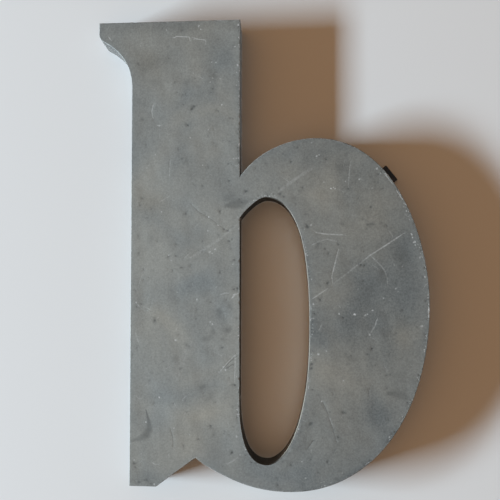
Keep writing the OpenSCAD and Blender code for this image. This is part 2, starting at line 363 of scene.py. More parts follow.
@dataclass
class LetterShape:
    """Outline and counter of the letter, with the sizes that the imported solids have.

    A pull is the length of a curve's handles as shares of its width or height, and a lean is the
    direction of a handle in degrees.
    """

    stem_w: float = 117
    stem_h: float = 497.5
    serif_reach: float = 36.5
    serif_edge_h: float = 11.5
    serif_lip: Point = (4, 8.5)
    serif_curve_h: float = 52.5
    serif_pull: Point = (0.615, 0.533)
    serif_lean: float = -28
    foot_w: float = 28.7
    notch: Point = (70.5, 31)
    toe: Point = (80, 24)
    toe_pull: Point = (0.32, 0.45)
    toe_lean: float = -29
    crotch_h: float = 328
    crotch_pull: Point = (0.39, 0.377)
    crotch_lean: float = 57
    bowl_top: Point = (196.5, 368.5)
    bowl_top_pull: Point = (0.722, 0.36)
    bowl_right: Point = (314.3, 195)
    bowl_bottom: Point = (168, -2.5)
    bowl_bottom_pull: Point = (0.588, 0.592)
    peak_h: float = 284.5
    peak_pull: Point = (0.469, 0.267)
    peak_lean: float = 55
    counter_top: Point = (144.7, 306.3)
    counter_top_pull: Point = (0.784, 0.557)
    counter_right: Point = (191.1, 170)
    counter_bottom: Point = (146, 25)
    counter_bottom_pull: Point = (0.275, 0.861)
    turn_h: float = 92.5
    turn_pull: Point = (0.472, 0.83)
    lip_pitch: float = 1.0

    def upper_right(self) -> Handles:
        """The bowl's curve from its top to its right side."""
        return quarter(self.bowl_top, self.bowl_right, self.bowl_top_pull)

    def lower_right(self) -> Handles:
        """The bowl's curve from its bottom to its right side."""
        return quarter(self.bowl_bottom, self.bowl_right, self.bowl_bottom_pull)

    def counter_upper(self) -> Handles:
        """The counter's curve from its top to its right side."""
        return quarter(self.counter_top, self.counter_right, self.counter_top_pull)

    def counter_lower(self) -> Handles:
        """The counter's curve from its right side to its bottom."""
        return quarter(self.counter_bottom, self.counter_right, self.counter_bottom_pull)[::-1]

    def outline(self) -> Run:
        """Draws the letter's outer line.

        Returns:
            The line, anticlockwise from the foot's left corner.
        """
        toe, low, top = self.toe, self.bowl_bottom, self.bowl_top
        crotch = (self.stem_w, self.crotch_h)
        toe_w, shoulder_w = low[0] - toe[0], top[0] - self.stem_w
        lip_w, lip_h = self.serif_lip
        lip_start = (-self.serif_reach, self.stem_h - self.serif_edge_h)
        lip_end = (lip_start[0] + lip_w, lip_start[1] - lip_h)
        serif_end = (0.0, lip_end[1] - self.serif_curve_h)
        serif_w = self.serif_reach - lip_w
        under_toe = (
            polar(toe, self.toe_pull[0] * toe_w, self.toe_lean),
            (low[0] - self.toe_pull[1] * toe_w, low[1]),
        )
        shoulder = (
            (top[0] - self.crotch_pull[0] * shoulder_w, top[1]),
            polar(crotch, self.crotch_pull[1] * shoulder_w, self.crotch_lean),
        )
        lip = (
            (lip_start[0], lip_start[1] - lip_h / 2),
            (lip_end[0] - lip_w / 2, lip_end[1] + lip_w / 4),
        )
        under_serif = (
            polar(lip_end, self.serif_pull[0] * serif_w, self.serif_lean),
            (0, serif_end[1] + self.serif_pull[1] * self.serif_curve_h),
        )
        return self._closed((0, 0), [
            Leg("foot_right", (self.foot_w, 0)),
            Leg("notch", self.notch),
            Leg("toe", toe),
            Leg("bowl_bottom", low, under_toe),
            Leg("bowl_right", self.bowl_right, self.lower_right()[1:3]),
            Leg("bowl_top", top, self.upper_right()[2:0:-1]),
            Leg("crotch", crotch, shoulder),
            Leg("top_right", (self.stem_w, self.stem_h)),
            Leg("top_left", (-self.serif_reach, self.stem_h)),
            Leg("lip_start", lip_start),
            Leg("lip_end", lip_end, lip, self.lip_pitch),
            Leg("serif_end", serif_end, under_serif),
            Leg("foot", (0, 0)),
        ])

    def counter(self) -> Run:
        """Draws the counter's line.

        Returns:
            The line, clockwise from its sharp top corner, with the metal on its left.
        """
        peak, turn = (self.stem_w, self.peak_h), (self.stem_w, self.turn_h)
        top, low = self.counter_top, self.counter_bottom
        top_w, low_w = top[0] - self.stem_w, low[0] - self.stem_w
        over = (
            polar(peak, self.peak_pull[0] * top_w, self.peak_lean),
            (top[0] - self.peak_pull[1] * top_w, top[1]),
        )
        under = (
            (low[0] - self.turn_pull[0] * low_w, low[1]),
            (turn[0], turn[1] - self.turn_pull[1] * (turn[1] - low[1])),
        )
        return self._closed(peak, [
            Leg("counter_top", top, over),
            Leg("counter_right", self.counter_right, self.counter_upper()[1:3]),
            Leg("counter_bottom", low, self.counter_lower()[1:3]),
            Leg("turn", turn, under),
            Leg("peak", peak),
        ])

    def _closed(self, start: Point, legs: Sequence[Leg]) -> Run:
        """Joins legs end to end.

        Args:
            start: Where the first leg starts and the last one ends.
            legs: The legs in their order.

        Returns:
            The closed line, with a corner at each leg's end.
        """
        starts = [start, *(leg.end for leg in legs)]
        lines = [leg.points(here) for leg, here in zip(legs, starts)]
        ends = np.cumsum([len(line) for line in lines])
        corners = {leg.name: int(end) % int(ends[-1]) for leg, end in zip(legs, ends)}
        return Run(np.roll(np.vstack(lines), 1, axis=0), corners)


class Piece:
    """One named mesh of the letter while it is built, in letter millimetres."""

    def __init__(self, node: str, slot: str) -> None:
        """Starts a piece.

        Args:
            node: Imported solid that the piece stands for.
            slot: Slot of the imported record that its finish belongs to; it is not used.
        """
        self.node, self.slot = node, slot
        self.points: list[np.ndarray] = []
        self.faces: list[tuple[int, ...]] = []
        self.finish_of: list[int] = []
        self.marks: dict[str, list[np.ndarray]] = {}
        self.count = 0

    def add(
        self,
        points: np.ndarray,
        faces: Iterable[Sequence[int]],
        finish: int = 0,
        **marks: np.ndarray,
    ) -> None:
        """Adds vertices and the faces between them.

        Args:
            points: Rows of x, height and depth.
            faces: Vertex numbers within these points.
            finish: Which of the piece's finishes the faces have.
            **marks: Values from 0 to 1 for each point, by name, that the finish reads.
        """
        for name in set(self.marks) | set(marks):
            kept = self.marks.setdefault(name, [np.zeros(self.count)] if self.count else [])
            kept.append(marks.get(name, np.zeros(len(points))))
        for face in faces:
            self.faces.append(tuple(int(i) + self.count for i in face))
            self.finish_of.append(finish)
        self.points.append(points)
        self.count += len(points)

    def sweep(
        self,
        sections: np.ndarray,
        finishes: Callable[[int], int] | None = None,
        **marks: np.ndarray,
    ) -> None:
        """Adds a closed skin through rings of points, with both ends capped.

        Args:
            sections: Rings, points of a ring, and their x, height and depth.
            finishes: Gives the finish of the faces that start at a point of the ring.
            **marks: Values for each point, ring after ring.
        """
        count, ring = sections.shape[:2]
        base = self.count
        self.add(sections.reshape(-1, 3), [], **marks)
        for j in range(ring):
            k = (j + 1) % ring
            for i in range(count - 1):
                here, there = base + i * ring, base + (i + 1) * ring
                self.faces.append((here + j, here + k, there + k, there + j))
                self.finish_of.append(finishes(j) if finishes else 0)
        self.faces += [tuple(base + j for j in range(ring))]
        self.faces += [tuple(base + (count - 1) * ring + j for j in reversed(range(ring)))]
        self.finish_of += [0, 0]

    def bridge(self, rows: Sequence[np.ndarray], finishes: Sequence[int]) -> None:
        """Joins closed rows of vertices, each to the next, by bands of faces.

        Args:
            rows: Vertex numbers, the same count in each row.
            finishes: Finish of each band.
        """
        for upper, lower, finish in zip(rows, rows[1:], finishes):
            for i in range(len(upper)):
                k = (i + 1) % len(upper)
                self.faces.append((int(upper[i]), int(lower[i]), int(lower[k]), int(upper[k])))
                self.finish_of.append(finish)

    def build(self, finishes: Finishes, sharp: float = 35, eased: float = 0) -> bpy.types.Object:
        """Makes the Blender object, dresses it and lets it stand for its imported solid.

        Args:
            finishes: Materials, in the order that the faces' finishes count.
            sharp: Edges that turn by more than this many degrees stay sharp.
            eased: Radius of the sheet's broken edges in millimetres, or 0 for none.

        Returns:
            The object.
        """
        mesh = bpy.data.meshes.new(self.node)
        mesh.from_pydata(to_frame(np.vstack(self.points)).tolist(), [], self.faces)
        mesh.polygons.foreach_set("material_index", self.finish_of)
        for name, values in self.marks.items():
            layer = mesh.attributes.new(name, "FLOAT", "POINT")
            layer.data.foreach_set("value", np.concatenate(values).astype(np.float32))
        for finish in finishes:
            mesh.materials.append(finish)
        piece = bpy.data.objects.new(f"{self.node}_formed", mesh)
        bpy.context.scene.collection.objects.link(piece)
        outwards(mesh)
        mesh.shade_smooth()
        mesh.set_sharp_from_angle(angle=math.radians(sharp))
        if eased:
            bevel = piece.modifiers.new("broken_edges", "BEVEL")
            bevel.width, bevel.segments = eased * MM, 2
            bevel.limit_method, bevel.angle_limit = "ANGLE", math.radians(50)
            bevel.harden_normals = False
        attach(piece, "root")
        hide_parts(self.node)
        log.info("%s: %d vertices, %d faces", piece.name, len(mesh.vertices), len(mesh.polygons))
        return piece


def outwards(mesh: bpy.types.Mesh) -> None:
    """Turns all faces of closed skins so that they look outwards.

    Args:
        mesh: Mesh of the skins.
    """
    form = bmesh.new()
    form.from_mesh(mesh)
    bmesh.ops.recalc_face_normals(form, faces=form.faces)
    form.to_mesh(mesh)
    form.free()


def filled(
    loops: Sequence[np.ndarray], inner: np.ndarray
) -> tuple[np.ndarray, list[tuple[int, int, int]]]:
    """Triangulates a flat area with points inside it.

    Args:
        loops: Its edges: the outer one, then its holes.
        inner: Points within the area.

    Returns:
        The points, those of the loops first and in their order, and the triangles.
    """
    points = np.vstack([*loops, inner]) if len(inner) else np.vstack(loops)
    edges, start = [], 0
    for loop in loops:
        edges += [(start + i, start + (i + 1) % len(loop)) for i in range(len(loop))]
        start += len(loop)
    rows = [tuple(p) for p in points]
    made, _, faces, kept, _, _ = delaunay_2d_cdt(rows, edges, [], 1, SAME_POINT)
    corners = np.array([(v[0], v[1]) for v in made])
    number = {old: new for new, olds in enumerate(kept) for old in olds}
    order = [number[i] for i in range(start)]
    rest = [i for i in range(len(corners)) if i not in set(order)]
    place = {new: i for i, new in enumerate(order + rest)}
    centres = np.array([corners[list(f)].mean(axis=0) for f in faces])
    keep = inside(centres, loops[0])
    for hole in loops[1:]:
        keep &= ~inside(centres, hole)
    triangles = [tuple(place[i] for i in f) for f, k in zip(faces, keep) if k]
    return corners[order + rest], triangles


def inside(points: np.ndarray, loop: np.ndarray) -> np.ndarray:
    """Whether points lie within a closed line.

    Args:
        points: Rows of x and height.
        loop: Points of the line.

    Returns:
        True or false for each point.
    """
    found = np.zeros(len(points), bool)
    for a, b in zip(loop, np.roll(loop, -1, axis=0)):
        across = (a[1] > points[:, 1]) != (b[1] > points[:, 1])
        reach = a[0] + (points[:, 1] - a[1]) * (b[0] - a[0]) / (b[1] - a[1] if b[1] != a[1] else 1)
        found ^= across & (points[:, 0] < reach)
    return found


# A stroke of one width starts and ends at a share of it, and widens by so much in a segment
TAPER = (0.35, 1.6)
# Share of its strength that a stroke has lost at its end
FADING = 0.45
# Points of the face's mesh for a stroke: their distance along it, and places across it in widths
SUPPORT_PITCH = 0.9
ACROSS = (-0.75, -0.3, 0, 0.3, 0.75)
# Rings of points of the face's mesh for a spot: their radius in its own, and how many they are
SPOT_RINGS = ((0.6, 6), (1.35, 8))
# How far a spot's stain reaches, in radii
SPOT_REACH = 2.8


class Mark(Enum):
    """What a mark on the face looks like."""

    PALE = "pale"
    DARK = "dark"
    STAIN = "stain"


@dataclass(frozen=True)
class Stroke:
    """A drawn-out mark: a scratch, a rubbed line or a run of dirt."""

    mark: Mark
    strength: float
    widths: tuple[float, ...]
    points: tuple[Point, ...]

    def widths_at(self, place: np.ndarray) -> np.ndarray:
        """How wide the stroke is.

        Args:
            place: Places along it, counted in its segments.

        Returns:
            The width at each place.
        """
        if len(self.widths) == 1:
            ends = np.minimum(place, len(self.points) - 1 - place)
            return self.widths[0] * np.clip(TAPER[0] + TAPER[1] * ends, 0, 1)
        return np.interp(place, range(len(self.widths)), self.widths)

    def reach(self) -> tuple[np.ndarray, np.ndarray]:
        """Lower and upper corner of the area that the mark can touch."""
        line, margin = np.array(self.points), max(self.widths)
        return line.min(axis=0) - margin, line.max(axis=0) + margin

    def value(self, points: np.ndarray) -> np.ndarray:
        """How much of the mark each point has.

        Args:
            points: Rows of x and height.

        Returns:
            Values from 0 to the mark's strength.
        """
        gap, place = distance_to_line(points, np.array(self.points))
        fade = 1 - FADING * place / (len(self.points) - 1)
        core = ease(1.45 - 2.0 * gap / np.maximum(self.widths_at(place), 0.2))
        return self.strength * fade * core

    def support(self) -> np.ndarray:
        """Points that the face's mesh needs, so that the mark comes out sharp.

        Returns:
            Rows of x and height.
        """
        line, rows = np.array(self.points), []
        for k in range(len(line) - 1):
            run = line[k + 1] - line[k]
            length = float(np.linalg.norm(run))
            side = np.array([-run[1], run[0]]) / length
            steps = max(1, math.ceil(length / SUPPORT_PITCH))
            for share in np.arange(0.5, steps) / steps:
                width = float(self.widths_at(np.array([k + share]))[0])
                middle = line[k] + share * run
                rows += [middle + side * width * off for off in ACROSS]
        return np.array(rows)


@dataclass(frozen=True)
class Spot:
    """A round pit or fleck."""

    mark: Mark
    x: float
    height: float
    radius: float
    strength: float

    def reach(self) -> tuple[np.ndarray, np.ndarray]:
        """Lower and upper corner of the area that the mark can touch."""
        centre, spread = np.array([self.x, self.height]), SPOT_REACH * self.radius
        return centre - spread, centre + spread

    def value(self, points: np.ndarray) -> np.ndarray:
        """How much of the mark each point has.

        Args:
            points: Rows of x and height.

        Returns:
            Values from 0 to the mark's strength.
        """
        off = points - (self.x, self.height)
        gap = np.linalg.norm(off, axis=1) / self.radius
        turn = np.arctan2(off[:, 1], off[:, 0])
        uneven = 1 + 0.25 * np.sin(2 * turn + self.x) + 0.15 * np.sin(3 * turn + self.height)
        if self.mark is Mark.PALE:
            return self.strength * ease(1.5 - 1.5 * gap * uneven)
        stain = 0.3 * ease(1.5 - 0.65 * gap * uneven)
        return self.strength * np.maximum(ease(1.5 - 1.1 * gap * uneven), stain)

    def support(self) -> np.ndarray:
        """Points that the face's mesh needs, so that the mark comes out sharp.

        Returns:
            Rows of x and height.
        """
        rows = [(self.x, self.height)]
        for share, count in SPOT_RINGS:
            for turn in np.arange(count) * (2 * math.pi / count) + self.x:
                reach = share * self.radius
                rows.append((self.x + reach * math.cos(turn), self.height + reach * math.sin(turn)))
        return np.array(rows)


@dataclass(frozen=True)
class Patch:
    """A broad soft patch of the skin, lighter or darker, and warmer or bluer."""

    x: float
    height: float
    half_w: float
    half_h: float
    tone: float
    warmth: float

    def weight(self, points: np.ndarray) -> np.ndarray:
        """How much of the patch each point has, from 0 to 1."""
        off = (points - (self.x, self.height)) / (self.half_w, self.half_h)
        return np.exp(-np.sum(off * off, axis=1))


# Drawn-out marks: strength, widths along the stroke, and points
STROKES: dict[Mark, tuple[tuple[float, tuple[float, ...], tuple[Point, ...]], ...]] = {
    Mark.PALE: (
        (0.48, (1.4,), ((288.4, 267.5), (270.4, 255.4), (253.2, 244.3), (247.0, 239.4))),
        (0.2, (1.6,), ((253.2, 244.3), (231.6, 227.3), (212.0, 212.0))),
        (0.42, (1.1,), ((192.6, 198.4), (200.4, 203.6), (209.8, 210.1))),
        (0.26, (1.3,), (
            (253.2, 244.3), (261.7, 236.5), (266.0, 231.6), (268.9, 226.6), (270.6, 221.0),
            (271.3, 212.5),
        )),
        (0.5, (1.0,), ((220.4, 250.0), (216.9, 236.0), (213.4, 222.0), (215.1, 211.6))),
        (0.44, (1.3,), ((196.2, 268.5), (208.3, 266.7), (220.5, 266.1), (226.5, 265.7))),
        (0.25, (1.4,), ((192.7, 255.3), (199.6, 258.8), (208.3, 261.4), (218.7, 259.1))),
        (0.32, (0.9,), ((233.3, 342.9), (231.9, 330.6), (231.0, 316.5))),
        (0.18, (3.0,), ((157.7, 311.9), (171.7, 322.4), (185.8, 332.0), (194.5, 337.2))),
        (0.16, (2.6,), ((63.0, 241.5), (78.2, 250.4), (94.2, 260.9), (115.4, 278.6))),
        (0.58, (0.9,), ((44.8, 479.2), (48.4, 480.9), (55.6, 480.4), (62.5, 479.6), (62.5, 475.7))),
        (0.5, (0.9,), ((68.3, 477.9), (73.7, 477.0), (79.6, 476.1), (79.7, 472.1))),
        (0.65, (0.9,), ((-26.4, 482.5), (-24.9, 480.3), (-23.1, 478.4))),
        (0.4, (0.8,), ((23.1, 407.7), (21.7, 399.6), (22.6, 394.2), (24.1, 391.4))),
        (0.43, (1.1,), ((27.2, 385.1), (32.6, 384.2))),
        (0.29, (0.7,), ((41.9, 347.0), (41.6, 336.3), (40.6, 323.7))),
        (0.32, (1.4,), ((260.6, 178.7), (258.0, 170.9), (252.8, 162.2))),
        (0.29, (1.2,), ((202.9, 172.3), (201.2, 168.0), (199.1, 164.8))),
        (0.36, (0.9,), ((209.7, 77.2), (212.2, 72.1), (213.4, 67.8))),
        (0.4, (1.0,), ((112.2, 139.4), (112.2, 125.4), (111.5, 109.7))),
        (0.4, (1.0,), ((96.4, 121.8), (105.1, 132.3), (113.9, 141.2))),
        (0.29, (1.0,), ((55.7, 89.7), (57.1, 92.9), (61.0, 96.3))),
        (0.32, (1.4,), ((105.4, 26.0), (110.7, 28.8), (114.5, 31.8))),
        (0.25, (1.2,), ((24.0, 25.3), (27.6, 23.6), (32.1, 23.2))),
        (0.36, (1.2,), ((97.0, 203.3), (101.4, 204.7), (105.8, 204.4))),
        (0.5, (1.6,), ((108.5, 199.1), (112.0, 203.3), (115.6, 204.2))),
        (0.29, (0.9,), ((12.0, 223.8), (10.2, 217.5), (8.1, 211.3))),
        (0.25, (0.8,), ((6.8, 193.5), (10.4, 189.1), (14.4, 186.4))),
        (0.4, (0.9,), ((36.6, 489.6), (37.9, 485.9))),
        (0.08, (5.0,), ((65.9, 152.2), (62.2, 145.3), (56.9, 135.8), (52.2, 125.2), (50.6, 111.4))),
        (1.0, (1.2, 2.0, 1.1, 1.8), (
            (312.9, 190.0), (313.0, 186.4), (313.1, 183.6), (313.1, 180.2),
        )),
        (0.6, (0.9,), ((267.8, 330.3), (272.9, 324.2), (277.2, 318.0))),
        (0.9, (1.0,), ((280.2, 312.8), (283.4, 308.0), (286.2, 302.8))),
    ),
    Mark.DARK: (
        (0.35, (0.9,), (
            (65.5, 298.5), (72.7, 291.3), (83.4, 285.0), (89.6, 280.8), (94.1, 276.9),
            (101.2, 272.4), (105.7, 270.6),
        )),
        (0.45, (0.9,), ((203.7, 91.8), (207.6, 83.2), (211.4, 73.8), (215.1, 60.9), (218.2, 49.8))),
        (0.7, (0.8,), ((193.6, 50.6), (190.7, 46.4), (188.1, 42.9))),
        (0.6, (0.8,), ((99.9, 124.4), (105.1, 130.6), (112.2, 136.8), (116.0, 139.4))),
        (0.6, (0.7,), ((103.4, 125.0), (108.7, 128.9), (112.2, 130.1))),
        (0.45, (0.9,), ((44.3, 59.8), (46.3, 52.8), (47.1, 42.3))),
        (0.4, (1.2,), ((249.0, 275.7), (255.0, 277.5), (260.2, 275.7))),
        (0.35, (1.1,), ((251.8, 104.5), (250.9, 97.6))),
    ),
    Mark.STAIN: (
        (0.75, (0.8, 3.0, 6.5, 7.0, 5.0, 3.4, 2.4), (
            (17.4, 80.7), (20.2, 69.9), (21.5, 61.1), (18.5, 54.4), (12.2, 50.8), (6.0, 48.9),
            (1.0, 47.1),
        )),
        (0.7, (4.0, 9.0, 9.0, 3.0), (
            (103.3, 297.3), (111.8, 298.5), (118.9, 300.2), (125.1, 301.9),
        )),
        (0.6, (3.0, 7.0, 7.0, 4.0), ((270.5, 101.3), (279.8, 100.5), (288.3, 98.1), (292.5, 96.4))),
    ),
}

# Pits with dirt in them, chips where bare metal shows and soft darker smudges: x, height, radius
# and strength
SPOTS: dict[Mark, tuple[tuple[float, float, float, float], ...]] = {
    Mark.DARK: (
        (65.4, 402.1, 1.6, 0.8), (67.5, 404.5, 1.5, 0.7), (61.1, 384.5, 0.9, 1.0),
        (93.7, 399.2, 0.9, 0.6), (123.3, 312.6, 1.5, 0.8), (105.5, 324.0, 1.0, 0.7),
        (95.8, 291.7, 1.1, 0.7), (105.7, 259.7, 1.2, 0.7), (104.4, 270.8, 1.2, 0.8),
        (100.3, 272.4, 0.9, 0.7), (111.1, 239.7, 1.3, 0.6), (59.2, 289.2, 1.1, 0.6),
        (26.7, 175.5, 1.1, 0.6), (96.0, 226.4, 1.2, 0.6), (114.6, 209.7, 1.2, 0.8),
        (111.1, 208.8, 1.1, 0.7), (55.0, 231.8, 1.2, 0.6), (41.0, 243.7, 1.2, 0.6),
        (48.7, 244.2, 1.0, 0.6), (104.6, 342.3, 1.1, 0.6), (109.3, 37.4, 1.3, 1.0),
        (86.8, 64.8, 1.0, 0.8), (112.2, 107.9, 1.1, 0.8), (98.9, 147.2, 1.2, 0.6),
        (74.0, 50.7, 0.9, 0.6), (5.3, 24.0, 1.5, 0.6), (10.8, 4.5, 1.6, 0.6), (18.8, 7.1, 1.4, 0.6),
        (177.9, 358.6, 1.2, 0.6), (170.9, 343.6, 1.0, 0.7), (208.0, 345.8, 0.9, 0.7),
        (254.2, 294.9, 1.2, 0.7), (188.3, 274.7, 1.9, 0.8), (209.1, 215.1, 1.4, 0.8),
        (286.2, 187.5, 1.2, 0.6), (201.3, 197.9, 1.3, 0.8), (246.2, 217.7, 1.1, 0.6),
        (262.1, 329.4, 1.0, 0.7), (210.0, 246.2, 1.1, 0.6), (206.6, 251.1, 0.9, 0.6),
        (220.4, 255.9, 1.2, 0.6), (243.7, 234.6, 0.9, 0.9), (241.4, 235.1, 0.8, 0.8),
        (247.5, 233.9, 0.9, 0.8), (270.8, 275.1, 0.9, 0.6), (183.1, 316.1, 1.1, 0.6),
        (159.5, 309.4, 1.4, 0.7), (163.3, 306.6, 1.2, 0.7), (231.0, 314.4, 1.0, 0.7),
        (225.4, 179.4, 1.1, 0.8), (191.6, 68.8, 1.9, 0.8), (225.1, 80.9, 1.6, 0.7),
        (219.9, 55.5, 1.2, 0.6), (208.7, 29.5, 1.2, 0.7), (254.8, 147.2, 1.0, 0.9),
        (250.2, 141.5, 1.0, 0.6), (192.4, 130.6, 1.3, 0.8), (192.2, 126.2, 1.3, 0.8),
        (193.3, 104.1, 1.0, 0.6), (170.8, 25.7, 1.2, 0.6), (157.2, 4.7, 1.2, 0.6),
    ),
    Mark.PALE: (
        (71.8, 490.8, 0.9, 0.9), (74.4, 488.0, 0.7, 0.7), (72.7, 492.3, 0.7, 0.7),
        (115.0, 491.8, 1.3, 0.8), (111.1, 468.1, 0.9, 0.9), (114.1, 448.2, 1.0, 0.8),
        (113.3, 440.1, 0.8, 0.7), (95.4, 433.9, 0.7, 0.6), (85.0, 430.5, 0.8, 0.6),
        (87.3, 434.8, 0.7, 0.7), (97.3, 405.8, 0.8, 0.9), (86.4, 452.1, 0.7, 0.6),
        (90.9, 451.6, 0.7, 0.6), (29.9, 384.3, 1.2, 0.6), (82.6, 270.8, 0.9, 0.7),
        (83.6, 285.5, 0.8, 0.95), (93.7, 276.7, 0.8, 0.95), (84.9, 248.2, 1.3, 0.6),
        (90.6, 251.2, 1.0, 0.7), (87.4, 246.8, 0.9, 0.6), (71.3, 198.1, 1.0, 0.8),
        (111.1, 203.0, 1.3, 0.7), (88.2, 171.7, 1.0, 0.6), (85.6, 174.0, 0.8, 0.6),
        (41.0, 244.8, 1.0, 0.6), (48.6, 154.7, 1.0, 0.95), (31.7, 93.8, 1.0, 0.95),
        (17.5, 67.6, 0.8, 0.9), (114.1, 54.0, 1.2, 0.6), (5.2, 27.5, 0.9, 0.6),
        (99.9, 126.7, 1.0, 0.8), (102.0, 123.6, 1.0, 0.8), (26.8, 2.6, 1.1, 0.7),
        (198.0, 349.2, 1.1, 0.6), (200.6, 350.4, 0.8, 0.6), (212.8, 314.9, 0.9, 0.9),
        (215.4, 315.8, 0.8, 0.8), (217.1, 314.5, 0.7, 0.7), (242.3, 324.3, 0.9, 0.8),
        (298.6, 258.1, 1.3, 0.95), (296.9, 262.8, 0.8, 0.8), (296.1, 265.8, 1.0, 0.9),
        (299.7, 255.0, 0.8, 0.8), (237.0, 182.6, 1.3, 1.0), (248.1, 181.8, 1.2, 0.9),
        (250.3, 183.0, 0.8, 0.7), (255.5, 187.0, 0.9, 0.8), (221.1, 183.2, 1.1, 0.8),
        (279.5, 209.6, 0.9, 0.6), (266.7, 199.5, 0.8, 0.6), (191.8, 276.4, 1.2, 0.6),
        (304.4, 242.0, 1.2, 0.6), (194.3, 193.2, 1.0, 0.7), (199.5, 202.8, 0.8, 0.7),
        (199.4, 141.0, 1.2, 0.7), (207.7, 144.6, 1.0, 0.6), (305.7, 170.8, 1.3, 0.8),
        (252.5, 161.7, 1.1, 0.6), (202.8, 92.1, 0.8, 0.7), (313.2, 188.9, 0.9, 1.0),
        (313.3, 185.5, 0.7, 0.9), (260.7, 335.4, 1.2, 1.0), (313.0, 193.6, 0.6, 0.8),
        (299.4, 258.2, 0.9, 1.0), (295.6, 266.7, 0.8, 0.9), (309.2, 221.9, 0.9, 0.9),
        (312.2, 203.0, 0.6, 0.8), (313.5, 170.3, 0.8, 0.8), (313.0, 160.1, 0.7, 0.8),
        (311.0, 143.5, 0.8, 0.9), (305.5, 118.0, 0.7, 0.8), (296.0, 94.5, 0.9, 0.8),
    ),
    Mark.STAIN: (
        (95.1, 185.1, 3.4, 0.55), (88.8, 163.5, 3.0, 0.5), (80.5, 156.0, 3.2, 0.35),
        (87.0, 157.8, 3.2, 0.35), (104.7, 165.7, 3.4, 0.55), (26.1, 174.7, 2.0, 0.5),
        (62.2, 148.5, 2.4, 0.5), (76.4, 104.3, 2.2, 0.5), (79.0, 106.2, 2.0, 0.5),
        (46.8, 134.0, 3.4, 0.25), (60.0, 121.0, 3.4, 0.25), (107.0, 190.0, 3.0, 0.4),
        (251.5, 276.0, 2.2, 0.5), (255.5, 277.2, 2.2, 0.5), (289.8, 245.9, 4.6, 0.4),
        (285.0, 241.0, 3.6, 0.35), (104.5, 305.0, 4.0, 0.4), (59.0, 430.0, 3.4, 0.3),
        (89.0, 436.0, 3.0, 0.35), (24.0, 431.0, 5.0, 0.25), (232.0, 137.0, 4.0, 0.35),
        (265.3, 226.0, 4.0, 0.3), (262.0, 219.0, 4.5, 0.3), (254.0, 209.0, 4.5, 0.3),
        (66.0, 330.0, 5.0, 0.25), (22.0, 262.0, 5.0, 0.25), (85.0, 95.0, 5.0, 0.25),
        (223.0, 336.0, 4.0, 0.35),
    ),
}

# Broad patches: x, height, half width, half height, tone and warmth
PATCHES: tuple[Patch, ...] = tuple(Patch(*row) for row in (
    (245, 170, 85, 210, -0.75, 0.05), (50, 490, 150, 90, -0.4, 0.0), (190, 0, 110, 45, -0.5, -0.6),
    (185, 360, 70, 40, -0.5, 0.0), (275, 310, 60, 60, -0.3, 0.1), (300, 190, 40, 110, -0.25, -0.2),
    (41, 492, 70, 6, -0.5, 0.0), (102, 452, 14, 16, -0.35, -0.7), (20, 454, 16, 12, -0.3, 0.6),
    (60, 420, 14, 14, -0.25, -0.6), (20, 301, 18, 12, -0.15, 0.7), (75, 215, 20, 14, -0.3, -0.7),
    (102, 185, 12, 16, -0.35, -0.7), (32, 176, 20, 34, 0.1, 0.5), (33, 75, 14, 22, -0.05, -0.6),
    (75, 66, 16, 28, 0.05, 0.6), (17, 9, 16, 8, -0.5, -0.4), (20, 20, 70, 50, -0.3, 0.0),
    (203, 308, 22, 24, 0.25, 0.6), (172, 354, 24, 12, -0.1, -0.5), (258, 290, 24, 20, 0.3, 0.5),
    (291, 250, 20, 24, -0.35, -0.55), (256, 216, 26, 26, -0.3, -0.5),
    (289, 198, 26, 24, -0.3, -0.55), (243, 169, 30, 20, -0.45, -0.6), (222, 120, 30, 22, 0.5, 0.7),
    (286, 162, 14, 16, 0.05, 0.5), (203, 151, 12, 16, -0.2, -0.5), (259, 74, 20, 16, -0.45, -0.6),
    (160, 14, 26, 10, -0.25, -0.7), (105, 50, 10, 16, -0.2, -0.4),
))


def on_face(points: np.ndarray, outline: Run, counter: Run) -> np.ndarray:
    """Those of the points that lie on the letter's face."""
    return points[inside(points, outline.points) & ~inside(points, counter.points)]


def edge_distance(points: np.ndarray, *edges: Run) -> np.ndarray:
    """Distance of points from the nearest of some edges."""
    loops = [np.vstack([run.points, run.points[:1]]) for run in edges]
    return np.min([distance_to_line(points, loop)[0] for loop in loops], axis=0)


